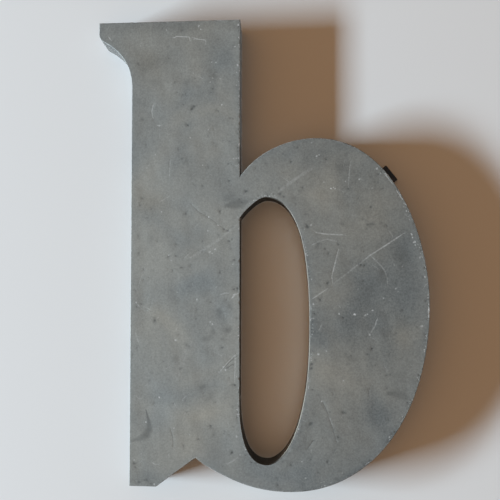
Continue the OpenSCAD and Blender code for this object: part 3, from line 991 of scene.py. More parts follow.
@dataclass
class FaceMarks:
    """All that years outdoors and handling have left on the face."""

    scattered_pits: int = 170
    scattered_flecks: int = 60
    scattered_scratches: int = 110
    chip_clusters: int = 34
    # Small marks keep clear of the edges, and this share of them lies within a band along these
    edge_share: float = 0.6
    edge_band: Point = (2.5, 14)
    # Radius and strength of a pit and of a fleck: least value, and what the largest has more
    pit: tuple[Point, Point] = ((0.6, 1.6), (0.5, -0.3))
    fleck: tuple[Point, Point] = ((0.5, 0.5), (0.15, 0.4))
    # Length of a scratch in the same way, limits of its strength and width, and share of dark ones
    scratch_length: Point = (3, 11)
    scratch_bow: float = 0.1
    scratch_strength: Point = (0.08, 0.26)
    scratch_width: Point = (0.5, 0.9)
    dark_scratches: float = 0.3
    # Limits of the count of chips in a cluster, their spread along the rim and away from it
    chips: tuple[int, int] = (2, 11)
    chip_spread: float = 4.5
    chip_reach: Point = (0.35, 1.5)
    chip_off: float = 0.4
    chip_radius: Point = (0.35, 0.8)
    chip_strength: Point = (0.2, 0.95)
    dark_chips: float = 0.35
    # How far to the right the outline's and the counter's rim must face to be chipped
    chipped: Point = (0.25, -2.0)
    seed: int = 11
    pit_depth: float = 0.12
    scratch_depth: float = 0.06
    marks: list[Stroke | Spot] = field(default_factory=list)

    def gather(self, outline: Run, counter: Run) -> None:
        """Lists the named marks and scatters the small ones, more of them near the edges.

        Args:
            outline: The letter's outer line.
            counter: The counter's line.
        """
        self.marks = [Stroke(mark, *row) for mark, rows in STROKES.items() for row in rows]
        self.marks += [Spot(mark, *row) for mark, rows in SPOTS.items() for row in rows]
        draw = np.random.default_rng(self.seed)
        wanted = self.scattered_pits + self.scattered_flecks
        box = outline.points.min(axis=0), outline.points.max(axis=0)
        tries = on_face(draw.uniform(*box, (wanted * 8, 2)), outline, counter)
        gap = edge_distance(tries, outline, counter)
        near = draw.uniform(size=len(tries)) < self.edge_share
        least, most = self.edge_band
        for k, (x, height) in enumerate(tries[(gap > least) & ~(near & (gap > most))][:wanted]):
            size = draw.uniform() ** 2
            is_pit = k < self.scattered_pits
            looks = [low + more * size for low, more in (self.pit if is_pit else self.fleck)]
            self.marks.append(Spot(Mark.DARK if is_pit else Mark.PALE, x, height, *looks))
        starts = on_face(draw.uniform(*box, (self.scattered_scratches * 3, 2)), outline, counter)
        for x, height in starts[: self.scattered_scratches]:
            self._scratch(x, height, draw)
        for run, least in zip((outline, counter), self.chipped):
            self._chip(run, draw, least)

    def _scratch(self, x: float, height: float, draw: np.random.Generator) -> None:
        """Adds a short bowed scratch.

        Args:
            x: Where it starts.
            height: Where it starts.
            draw: Source of the seeded random numbers.
        """
        low, more = self.scratch_length
        turn, length = draw.uniform(0, math.pi), low + more * draw.uniform() ** 2
        bow = draw.uniform(-self.scratch_bow, self.scratch_bow, 2) * length
        end = (x + length * math.cos(turn), height + length * math.sin(turn))
        middle = ((x + end[0]) / 2 + bow[0], (height + end[1]) / 2 + bow[1])
        mark = Mark.DARK if draw.uniform() < self.dark_scratches else Mark.PALE
        strength, width = draw.uniform(*self.scratch_strength), draw.uniform(*self.scratch_width)
        self.marks.append(Stroke(mark, strength, (width,), ((x, height), middle, end)))

    def _chip(self, run: Run, draw: np.random.Generator, least: float) -> None:
        """Knocks clusters of small chips and dirty dents into the rim.

        Args:
            run: The outline or the counter's line.
            draw: Source of the seeded random numbers.
            least: How far to the right the rim must face to be hit.
        """
        out = run.points - run.moved(1.0)
        pitch = float(np.linalg.norm(np.diff(run.points, axis=0), axis=1).mean())
        places = np.nonzero(out[:, 0] > least)[0]
        for centre in draw.choice(places, self.chip_clusters):
            for _ in range(draw.integers(*self.chips)):
                k = int(centre + draw.normal(0, self.chip_spread / pitch)) % len(out)
                reach = self.chip_reach[0] + abs(draw.normal(0, self.chip_reach[1]))
                place = run.points[k] - out[k] * reach
                x, height = place + draw.uniform(-self.chip_off, self.chip_off, 2)
                mark = Mark.DARK if draw.uniform() < self.dark_chips else Mark.PALE
                looks = draw.uniform(*self.chip_radius), draw.uniform(*self.chip_strength)
                self.marks.append(Spot(mark, x, height, *looks))

    def values(self, points: np.ndarray) -> dict[str, np.ndarray]:
        """What the finish reads at each point.

        Args:
            points: Rows of x and height.

        Returns:
            Values by name: pale, dark, stain, tone and warmth.
        """
        found = {mark.value: np.zeros(len(points)) for mark in Mark}
        for mark in self.marks:
            low, high = mark.reach()
            near = np.all((points > low) & (points < high), axis=1)
            layer = found[mark.mark.value]
            layer[near] = np.maximum(layer[near], mark.value(points[near]))
        weights = [patch.weight(points) for patch in PATCHES]
        for name in ("tone", "warmth"):
            found[name] = sum(getattr(p, name) * weight for p, weight in zip(PATCHES, weights))
        return found

    def support(self) -> np.ndarray:
        """Points of the face's mesh that the marks need."""
        return np.vstack([mark.support() for mark in self.marks])


@dataclass
class SheetStock:
    """Thicknesses and depths that the sheet-metal pieces share."""

    depth: float = 28
    face_t: float = 1.0
    return_t: float = 1.0
    seam_leg: float = 2.5
    # The face's dishing: its usual depth, its form, and its limit as a multiple of that depth
    buckle: float = 0.3
    dish: Waves = Waves(0.5, ((0.5, 70, 5), (0.25, 24, 6)))
    most_dish: float = 1.6
    # How far the returns bend in, from a first distance off the face and fully after a second
    bow: Waves = Waves(0.16, ((0.13, 38, 8), (0.05, 11, 9)))
    most_bow: float = 0.4
    stiff: Point = (1.5, 14)

    @property
    def face_back(self) -> float:
        """Depth of the face plate's rear side."""
        return self.depth - self.face_t

    def sag(self, points: np.ndarray) -> np.ndarray:
        """How far the face dips towards the wall between the returns."""
        return self.buckle * np.clip(self.dish.over(points), 0, self.most_dish)

    def bulge(self, points: np.ndarray) -> np.ndarray:
        """How far a return bends in: nothing at the face, most at the wall.

        Args:
            points: Rows of x, height and depth.

        Returns:
            A distance for each point.
        """
        free = np.clip((self.face_back - self.stiff[0] - points[:, 2]) / self.stiff[1], 0, 1)
        return free * np.clip(self.bow.over(points), 0, self.most_bow)


@dataclass
class FacePlate:
    """The flat front, cut from rolled zinc sheet, with a filed and worn rim."""

    outline: Run
    counter: Run
    stock: SheetStock
    marks: FaceMarks
    grid: float = 4.2
    rear_grid: float = 9
    # Pairs of how far in and how far below the front, from the sheet's edge up to its front
    rim: tuple[Point, ...] = ((0.0, 0.95), (0.0, 0.42), (0.1, 0.14), (0.38, 0.0))
    counter_rim: tuple[Point, ...] = ((0.0, 0.95), (0.0, 0.26), (0.06, 0.08), (0.22, 0.0))
    rear_inset: float = 0.12
    # Where the rim's roughness passes a level it is nicked, up to this deep
    rough: Waves = Waves(0.0, ((1.0, 3.1, 21), (0.8, 9, 22)))
    nick_from: float = 0.9
    nick: float = 0.16
    # The dishing starts this far from the edges, and is full after the second length
    settled: Point = (2, 14)
    # How much darker the skin is along the outline and bluer along all edges, and how far in
    edge_dark: Point = (0.7, 0.9)
    edge_blue: Point = (0.45, 3)
    # How bare the rim is at most: where hands reach, on the left edges and round the counter
    handled: Triple = (1.0, 0.3, 0.15)
    # x from which hands reach the rim and over what width, and how wide the counter's rim is
    reached: Point = (-5, 60)
    counter_band: float = 3
    # How bare the rim is where the front starts, and over what width that fades
    wear: Point = (0.9, 0.8)
    # Rings of points at these distances from both edges, and one more round the counter
    rings: Point = (0.8, 1.7)
    counter_ring: float = 0.45
    # Distance that the marks' points keep from the edges, and the grid's as a share of its pitch
    marks_clear: float = 0.75
    grid_clear: float = 0.45
    # Distance between the grid's rows as a share of its pitch
    row_step: float = 0.87
    same_cell: float = 0.22

    def make(self, finishes: Finishes) -> bpy.types.Object:
        """Builds the plate as one closed skin.

        Args:
            finishes: Of the front, of the rear, of the edge round the outline, and of the edge
                round the counter, which is drawn near black as painted shade.

        Returns:
            The object.
        """
        piece = Piece("face_plate", "zinc_face")
        edges = (self.outline, self.counter)
        loops = [self._rim_line(run, rim[-1][0]) for run, rim in zip(edges, self._rims())]
        flat, triangles = filled(loops, self._inner_points())
        points, values = self._front(flat)
        piece.add(points, triangles, 0, **values)
        loops = [run.moved(self.rear_inset) for run in edges]
        rear, triangles = filled(loops, self._grid_points(self.rear_grid))
        settling = self._settling(edge_distance(rear, *edges))
        depth = self.stock.face_back - self.stock.sag(rear) * settling
        rear_start = piece.count
        piece.add(np.column_stack([rear, depth]), triangles, 1)
        self._add_rims(piece, rear_start)
        return piece.build(finishes, sharp=50)

    def _rims(self) -> tuple[tuple[Point, ...], tuple[Point, ...]]:
        """Profiles of the rim round the outline and round the counter."""
        return self.rim, self.counter_rim

    def _settling(self, gap: np.ndarray) -> np.ndarray:
        """Share of the sheet's dishing at distances from the edges."""
        return ease((gap - self.settled[0]) / self.settled[1])

    def _front(self, flat: np.ndarray) -> tuple[np.ndarray, dict[str, np.ndarray]]:
        """Dishes the front and marks it.

        Args:
            flat: Rows of x and height.

        Returns:
            Rows of x, height and depth, and the values that the finish reads, by name.
        """
        gap = edge_distance(flat, self.outline, self.counter)
        values = self.marks.values(flat)
        dip = self.stock.sag(flat) * self._settling(gap) + self.marks.pit_depth * values["dark"]
        dip += self.marks.scratch_depth * values["pale"]
        most, left, sheltered = self.handled
        (start, width), (bare, fade) = self.reached, self.wear
        handled = left + (most - left) * np.clip((flat[:, 0] - start) / width, 0, 1)
        handled[edge_distance(flat, self.counter) < self.counter_band] = sheltered
        values["rim"] = handled * np.clip(bare - (gap - self.rim[-1][0]) / fade, 0, 1)
        (dark, dark_reach), (blue, blue_reach) = self.edge_dark, self.edge_blue
        off = edge_distance(flat, self.outline)
        values["tone"] = values["tone"] - dark * np.exp(-off / dark_reach)
        values["warmth"] = values["warmth"] - blue * np.exp(-gap / blue_reach)
        return np.column_stack([flat, self.stock.depth - dip]), values

    def _nicks(self, run: Run) -> np.ndarray:
        """How far a rim is worn back; the counter's rim is sheltered.

        Args:
            run: The outline or the counter's line.

        Returns:
            A distance for each of its points.
        """
        if run is self.counter:
            return np.zeros(len(run.points))
        return self.nick * np.clip(self.rough.over(run.points) - self.nick_from, 0, 1)

    def _rim_line(self, run: Run, inset: float) -> np.ndarray:
        """A run moved in by an inset and by its nicks."""
        return run.moved(inset + self._nicks(run))

    def _grid_points(self, pitch: float) -> np.ndarray:
        """Spreads points over the plate, none of them near an edge.

        Args:
            pitch: Distance between points.

        Returns:
            Rows of x and height.
        """
        low, high = self.outline.points.min(axis=0), self.outline.points.max(axis=0)
        rows = []
        for k, height in enumerate(np.arange(low[1], high[1], pitch * self.row_step)):
            rows += [(x + (k % 2) * pitch / 2, height) for x in np.arange(low[0], high[0], pitch)]
        points = on_face(np.array(rows), self.outline, self.counter)
        gap = edge_distance(points, self.outline, self.counter)
        return points[gap > self.grid_clear * pitch]

    def _inner_points(self) -> np.ndarray:
        """Gathers the front's points: rings near the rim, a grid, and what the marks need.

        Returns:
            Rows of x and height.
        """
        edges = (self.outline, self.counter)
        rings = [run.moved(inset) for run in edges for inset in self.rings]
        rings.append(self.counter.moved(self.counter_ring))
        support = on_face(self.marks.support(), *edges)
        support = support[edge_distance(support, *edges) > self.marks_clear]
        points = np.vstack([support, *rings, self._grid_points(self.grid)])
        cells = np.round(points / self.same_cell).astype(int)
        _, first = np.unique(cells, axis=0, return_index=True)
        return points[np.sort(first)]

    def _add_rims(self, piece: Piece, rear_start: int) -> None:
        """Closes the plate round its outline and its counter.

        Args:
            piece: The plate, which has its front and its rear.
            rear_start: Number of the rear's first vertex.
        """
        start = 0
        # The rim round the counter takes the fourth finish, drawn near black as painted shade
        for run, rim, finishes in zip(
            (self.outline, self.counter), self._rims(), ((0, 2, 2, 2), (3, 3, 3, 3))
        ):
            count, nicks = len(run.points), self._nicks(run)
            ids = [start + np.arange(count)]
            for inset, below in reversed(rim[:-1]):
                line = run.moved(inset + nicks * (1 - below / self.stock.face_t))
                ids.append(piece.count + np.arange(count))
                depth = np.full(count, self.stock.depth - below)
                worn = np.full(count, max(0.1, 0.4 - 2 * below))
                piece.add(np.column_stack([line, depth]), [], rim=worn)
            ids.append(rear_start + start + np.arange(count))
            piece.bridge(ids, finishes)
            start += count


@dataclass
class LugPlace:
    """Where a lug leaves the letter: a point of the outline and the direction out of it."""

    x: float
    height: float
    degrees: float

    @property
    def origin(self) -> np.ndarray:
        """The point of the outline."""
        return np.array([self.x, self.height])

    @property
    def out(self) -> np.ndarray:
        """Unit vector that leads out of the letter."""
        turn = math.radians(self.degrees)
        return np.array([math.cos(turn), math.sin(turn)])

    @property
    def side(self) -> np.ndarray:
        """Unit vector along the lug's width."""
        return np.array([-self.out[1], self.out[0]])

    def at(self, reach: float | np.ndarray, width: float | np.ndarray) -> np.ndarray:
        """Points at a distance out of the letter and along the lug's width."""
        along = self.origin + np.multiply.outer(reach, self.out)
        return along + np.multiply.outer(width, self.side)


@dataclass
class Return:
    """A strip of zinc sheet on edge behind the face, bent along part of a run."""

    node: str
    run: Run
    first: str
    last: str
    stock: SheetStock
    slot_at: LugPlace | None = None
    slot_half: float = 10.2
    slot_h: float = 1.7
    # Whether the outer side is drawn darker as painted shade, as in the counter
    shade_painted: bool = False
    # Depths at which the strip has points between its edges
    levels: tuple[float, ...] = (2.5, 6, 10, 14, 18, 21.5, 24.5, 26.2)
    broken_edge: float = 0.22
    # How far in and how far below the face the outer side ends
    top_edge: Point = (0.1, 0.12)
    # How far solder from a butt joint covers the outer side, and how softly it ends
    joint_flow: Point = (1.3, 1.6)
    # Depth at which the seam's solder starts on the inner side, and how softly
    seam_flow: Point = (20, 5)
    # Heights of the bare edge at the wall and of the grime over it
    bare_h: float = 0.9
    grime_h: float = 9
    # How much painted shade darkens the counter's strips where the window doesn't light them, and
    # how much painted shade darkens the outer sides that face left, towards the window
    counter_shade: float = 2.1
    lit_side_shade: float = 1.35

    def make(self, finishes: Finishes) -> bpy.types.Object:
        """Builds the strip.

        Args:
            finishes: Of its weathered outer side, which also carries the painted shade, and of its
                inner side.

        Returns:
            The object.
        """
        piece = Piece(self.node, "zinc_return")
        span = self.run.span(self.first, self.last)
        line = self.run.points[span]
        floor = self._floor(line)
        t, top, edge = self.stock.return_t, self.stock.face_back, self.broken_edge
        outside = [(edge, floor), (0.0, floor + edge), *((0.0, z) for z in self.levels)]
        outside += [(0.0, top - self.top_edge[1]), (self.top_edge[0], top)]
        within = [(t, top), *((t, z) for z in reversed(self.levels))]
        within += [(t, floor + edge), (t - edge, floor)]
        sections = np.zeros((len(span), len(outside) + len(within), 3))
        for j, (inset, level) in enumerate(outside + within):
            depth = level + np.zeros(len(span))
            full = np.full(len(self.run.points), float(inset))
            full[span] += self.stock.bulge(np.column_stack([line, depth]))
            sections[:, j] = np.column_stack([self.run.moved(full)[span], depth])
        outer = np.arange(sections.shape[1]) < len(outside)
        marks = self._marks(line, sections[:, :, 2], floor, outer)
        weathered = {*range(len(outside) - 1), len(outer) - 1}
        piece.sweep(sections, lambda j: 0 if j in weathered else 1, **marks)
        return piece.build(finishes, sharp=40)

    def _floor(self, line: np.ndarray) -> np.ndarray:
        """How far from the wall the strip starts: 0, or more over a lug's slot.

        Args:
            line: Points of the run that the strip follows.

        Returns:
            A distance for each point.
        """
        floor = np.zeros(len(line))
        if self.slot_at:
            off = line - self.slot_at.origin
            beside = np.abs(off @ self.slot_at.side) < self.slot_half
            floor[beside & (np.linalg.norm(off, axis=1) < 2 * self.slot_half)] = self.slot_h
        return floor

    def _marks(
        self, line: np.ndarray, depths: np.ndarray, floor: np.ndarray, outer: np.ndarray
    ) -> dict[str, np.ndarray]:
        """What the finish reads, ring after ring.

        Args:
            line: Points of the run that the strip follows.
            depths: Depth of each point of each ring.
            floor: Depth at which the strip starts, for each ring.
            outer: Whether a point of a ring is on the outer side.

        Returns:
            Values by name: solder, rim, grime and tone.
        """
        along = np.concatenate([[0], np.cumsum(np.linalg.norm(np.diff(line, axis=0), axis=1))])
        (reach, blur), (level, rise) = self.joint_flow, self.seam_flow
        joint = np.clip(reach - np.minimum(along, along[-1] - along) / blur, 0, 1)
        solder = np.where(outer, joint[:, None], np.clip((depths - level) / rise, 0, 1))
        rim = np.clip(1 - (depths - floor[:, None]) / self.bare_h, 0, 1)
        span = self.run.span(self.first, self.last)
        facing = (self.run.points - self.run.moved(1.0))[span, :1]
        if self.shade_painted:
            # Painted shade: in the counter the strips are drawn darker, apart from the side that
            # faces the window's light, and darker near the face
            counter_shade = np.maximum(ease((facing + 0.85) / 0.3), 0.75 * ease((depths - 21) / 3))
            tone = -self.counter_shade * counter_shade
        else:
            # Painted shade: outer sides that face left, towards the window, are drawn darker
            tone = -self.lit_side_shade * ease(-facing * 1.5)
        tone = np.where(outer, tone, 0)
        grime = np.clip(1 - depths / self.grime_h, 0, 1)
        marks = {"solder": solder, "rim": rim, "grime": grime, "tone": tone}
        return {name: values.ravel() for name, values in marks.items()}


@dataclass
class Seam:
    """The soldered fillet behind the face, run along a return in short strokes of the iron."""

    node: str
    run: Run
    first: str
    last: str
    stock: SheetStock
    arc: int = 6
    # Both legs of the fillet as shares of its full leg, and how hollow it is
    across: Waves = Waves(0.9, ((0.1, 9, 31), (0.06, 4, 32)))
    down: Waves = Waves(0.9, ((0.1, 8, 33), (0.06, 4, 34)))
    hollow: float = 0.75

    def make(self, finishes: Finishes) -> bpy.types.Object:
        """Builds the fillet.

        Args:
            finishes: Of the solder.

        Returns:
            The object.
        """
        piece = Piece(self.node, "solder")
        span = self.run.span(self.first, self.last)
        line, leg = self.run.points, self.stock.seam_leg
        across, down = leg * self.across.over(line), leg * self.down.over(line)
        turns = np.linspace(0, math.pi / 2, self.arc)
        power = self.hollow
        curve = [((1 - math.sin(a)) ** power, (1 - math.cos(a)) ** power) for a in turns]
        sections = np.zeros((len(span), self.arc + 1, 3))
        for j, (reach, drop) in enumerate([(0, 0), *curve]):
            moved = self.run.moved(self.stock.return_t + across * reach)
            sections[:, j] = np.column_stack([moved, self.stock.face_back - down * drop])[span]
        piece.sweep(sections, crown=np.tile([0, *(np.sin(turns * 2))], len(span)))
        return piece.build(finishes, sharp=60)


@dataclass
class CornerSolder:
    """Solder laid over the joint where two returns meet, from near the wall up to the seam."""

    node: str
    run: Run
    corner: str
    stock: SheetStock
    reach: float = 4.6
    thickness: float = 1.1
    back: float = 3.0
    rows: int = 16
    arc: int = 9
    spread: Waves = Waves(1, ((0.1, 6, 41),))
    lumps: Waves = Waves(1, ((0.14, 5, 42),))
    # Share of its full size at the end near the wall, and how soon it is full
    end_share: float = 0.35
    end_taper: float = 2.2

    def make(self, finishes: Finishes) -> bpy.types.Object:
        """Builds the solder.

        Args:
            finishes: Of the solder.

        Returns:
            The object.
        """
        piece = Piece(self.node, "solder")
        inner = self.run.moved(self.stock.return_t)
        at = self.run.corners[self.corner]
        corner = inner[at]
        arms = [self._arm(inner, at, step) for step in (-1, 1)]
        towards = self.run.moved(self.stock.return_t + 1)[at] - corner
        towards /= np.linalg.norm(towards)
        lean = float(towards @ (arms[0] + arms[1]))
        share = np.linspace(0, 1, self.arc)
        sections = np.zeros((self.rows, self.arc + 1, 3))
        top = self.stock.face_back - self.stock.seam_leg
        for i, depth in enumerate(np.linspace(self.back, top, self.rows)):
            end = min(1.0, self.end_share + (depth - self.back) / self.end_taper)
            reach = self.reach * end * self.spread.at(*corner, depth)
            thick = self.thickness * end * self.lumps.at(*corner, depth)
            middle = corner + towards * max(0.3, 2 * (thick - 0.25 * reach * lean))
            curve = np.outer((1 - share) ** 2, corner + arms[0] * reach)
            curve = curve + np.outer(2 * share * (1 - share), middle)
            curve = curve + np.outer(share**2, corner + arms[1] * reach)
            sections[i, :-1] = np.column_stack([curve, np.full(self.arc, depth)])
            sections[i, -1] = (*corner, depth)
        piece.sweep(sections, crown=np.tile([*np.sin(share * math.pi), 0], self.rows))
        return piece.build(finishes, sharp=70)

    def _arm(self, inner: np.ndarray, at: int, step: int) -> np.ndarray:
        """Finds the way from the corner along one of its walls.

        Args:
            inner: Points of the walls' inner side.
            at: Index of the corner.
            step: -1 for the wall before the corner, 1 for the one after it.

        Returns:
            A unit vector.
        """
        k = at
        while np.linalg.norm(inner[k % len(inner)] - inner[at]) < self.reach * 0.8:
            k += step
        arm = inner[k % len(inner)] - inner[at]
        return arm / np.linalg.norm(arm)


@dataclass
class Splice:
    """A strap sweated behind a butt joint between two returns."""

    node: str
    run: Run
    joint: str
    stock: SheetStock
    length: float = 16
    thickness: float = 1
    back: float = 3
    top: float = 23.5
    # Points along the strap and across it
    grid: tuple[int, int] = (13, 8)
    # Share of the way to an edge where the solder starts, and how softly
    sweated: Point = (0.86, 0.1)

    def make(self, finishes: Finishes) -> bpy.types.Object:
        """Builds the strap.

        Args:
            finishes: Of the strap.

        Returns:
            The object.
        """
        piece = Piece(self.node, "zinc_inner")
        x, middle = self.run.points[self.run.corners[self.joint]]
        inner = self.run.moved(self.stock.return_t)
        outer = self.run.moved(self.stock.return_t + self.thickness)
        near = (np.abs(inner[:, 1] - middle) < self.length) & (np.abs(inner[:, 0] - x) < 6)
        order = np.argsort(inner[near][:, 1])
        levels = np.linspace(self.back, self.top, self.grid[1])
        sections = []
        for height in middle + np.linspace(-self.length / 2, self.length / 2, self.grid[0]):
            wall, free = (
                np.interp(height, side[near][order][:, 1], side[near][order][:, 0])
                for side in (inner, outer)
            )
            ring = [(wall, height, z) for z in levels]
            sections.append(ring + [(free, height, z) for z in reversed(levels)])
        made = np.array(sections)
        ends = np.abs(made[:, :, 1] - middle) / (self.length / 2)
        sides = np.abs(made[:, :, 2] - (self.back + self.top) / 2) / ((self.top - self.back) / 2)
        solder = np.clip((np.maximum(ends, sides) - self.sweated[0]) / self.sweated[1], 0, 1)
        piece.sweep(made, solder=solder.ravel())
        return piece.build(finishes, eased=0.2)


@dataclass
class Brace:
    """A strap across the open back, bent up at both ends and soldered to two returns."""

    node: str
    ends: tuple[tuple[Run, Point], tuple[Run, Point]]
    stock: SheetStock
    width: float = 15
    thickness: float = 1
    back: float = 2
    tab_h: float = 11
    bend: float = 1.8
    bow: float = 0.35
    # How much more one long edge is bowed than the middle, as a share
    twist: float = 0.3
    # How far down from a tab's end the zinc is tinned, and how softly that ends
    tinned: Point = (3.5, 2.5)
    grime_h: float = 3
    tone: float = 0.35
    solder_h: float = 2
    bead_w: Waves = Waves(0.95, ((0.08, 4, 51),))
    bead_h: Waves = Waves(0.9, ((0.12, 5, 52),))
    # How much the beads thin towards the strap's edges
    thinning: float = 0.45
    # Places across the strap, from one edge to the other
    across: tuple[float, ...] = (-1, -0.75, -0.5, -0.25, 0, 0.25, 0.5, 0.75, 1)

    def _lanes(self) -> list[tuple[float, np.ndarray, np.ndarray, np.ndarray]]:
        """Lays lines along the strap, side by side.

        Returns:
            For each its place across the strap, its two ends on the returns and its direction.
        """
        (run_a, a), (run_b, b) = self.ends
        start, stop = np.array(a, float), np.array(b, float)
        way = (stop - start) / np.linalg.norm(stop - start)
        side, t = np.array([-way[1], way[0]]), self.stock.return_t
        lanes = []
        for off in self.across:
            origin = (start + stop) / 2 + side * (off * self.width / 2)
            lanes.append((off, run_a.hit(origin, -way, t), run_b.hit(origin, way, t), way))
        return lanes

    def make(self, finishes: Finishes) -> bpy.types.Object:
        """Builds the strap.

        Args:
            finishes: Of the strap.

        Returns:
            The object.
        """
        piece = Piece(self.node, "zinc_inner")
        sections = []
        for off, a, b, way in self._lanes():
            length = float(np.linalg.norm(b - a))
            profile = self._profile(length, 0.0, off)
            profile += reversed(self._profile(length, self.thickness, off))
            sections.append([(*(a + way * u), z) for u, z in profile])
        made = np.array(sections)
        reach, blur = self.tinned
        tabs = np.clip((made[:, :, 2] - self.back - self.tab_h + reach) / blur, 0, 1)
        grime = np.clip(1 - (made[:, :, 2] - self.back) / self.grime_h, 0, 1)
        tone = np.full(grime.size, self.tone)
        piece.sweep(made, solder=tabs.ravel(), grime=grime.ravel(), tone=tone)
        return piece.build(finishes, eased=0.15)

    def _profile(self, length: float, inset: float, off: float) -> list[Point]:
        """Side view of one face of the strap: up a tab, round a bend, across and up again.

        Args:
            length: Distance between the two returns.
            inset: Distance of this face from the face that lies on the returns.
            off: Place across the strap, from -1 to 1.

        Returns:
            Distance from the first return, and depth, point by point.
        """
        top, low, bend = self.back + self.tab_h, self.back, self.bend
        half_up, radius = (top + low) / 2 + 1, bend - inset
        turns = np.linspace(0, math.pi / 2, 6)
        left = [(inset, top), (inset, half_up)]
        left += [(bend - radius * math.cos(a), low + bend - radius * math.sin(a)) for a in turns]
        right = [(length - u, z) for u, z in reversed(left)]
        span, high = length - 2 * bend, self.bow * (1 + self.twist * off)
        shares = np.linspace(0, 1, 9)[1:-1]
        bowed = [(bend + span * s, low + inset + high * math.sin(math.pi * s)) for s in shares]
        return left + bowed + right

    def make_solder(self, node: str, finishes: Finishes) -> bpy.types.Object:
        """Builds the two beads along the edges of the strap's tabs.

        Args:
            node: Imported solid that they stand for.
            finishes: Of the solder.

        Returns:
            The object.
        """
        piece = Piece(node, "solder")
        base = self.back + self.tab_h
        share = np.linspace(0, 1, 6)
        for end, sign in ((1, 1.0), (2, -1.0)):
            sections = []
            for lane in self._lanes():
                at, way = lane[end], lane[3] * sign
                swell = 1 - self.thinning * abs(lane[0]) ** 4
                wide = self.thickness * swell * self.bead_w.at(*at, base)
                high = self.solder_h * swell * self.bead_h.at(*at, base)
                bead = [(*(at + way * wide * (1 - s) ** 0.8), base + high * s**1.25) for s in share]
                sections.append([(*at, base), *bead])
            crown = np.tile([0, *np.sin(share * math.pi)], len(sections))
            piece.sweep(np.array(sections), crown=crown)
        return piece.build(finishes, sharp=70)


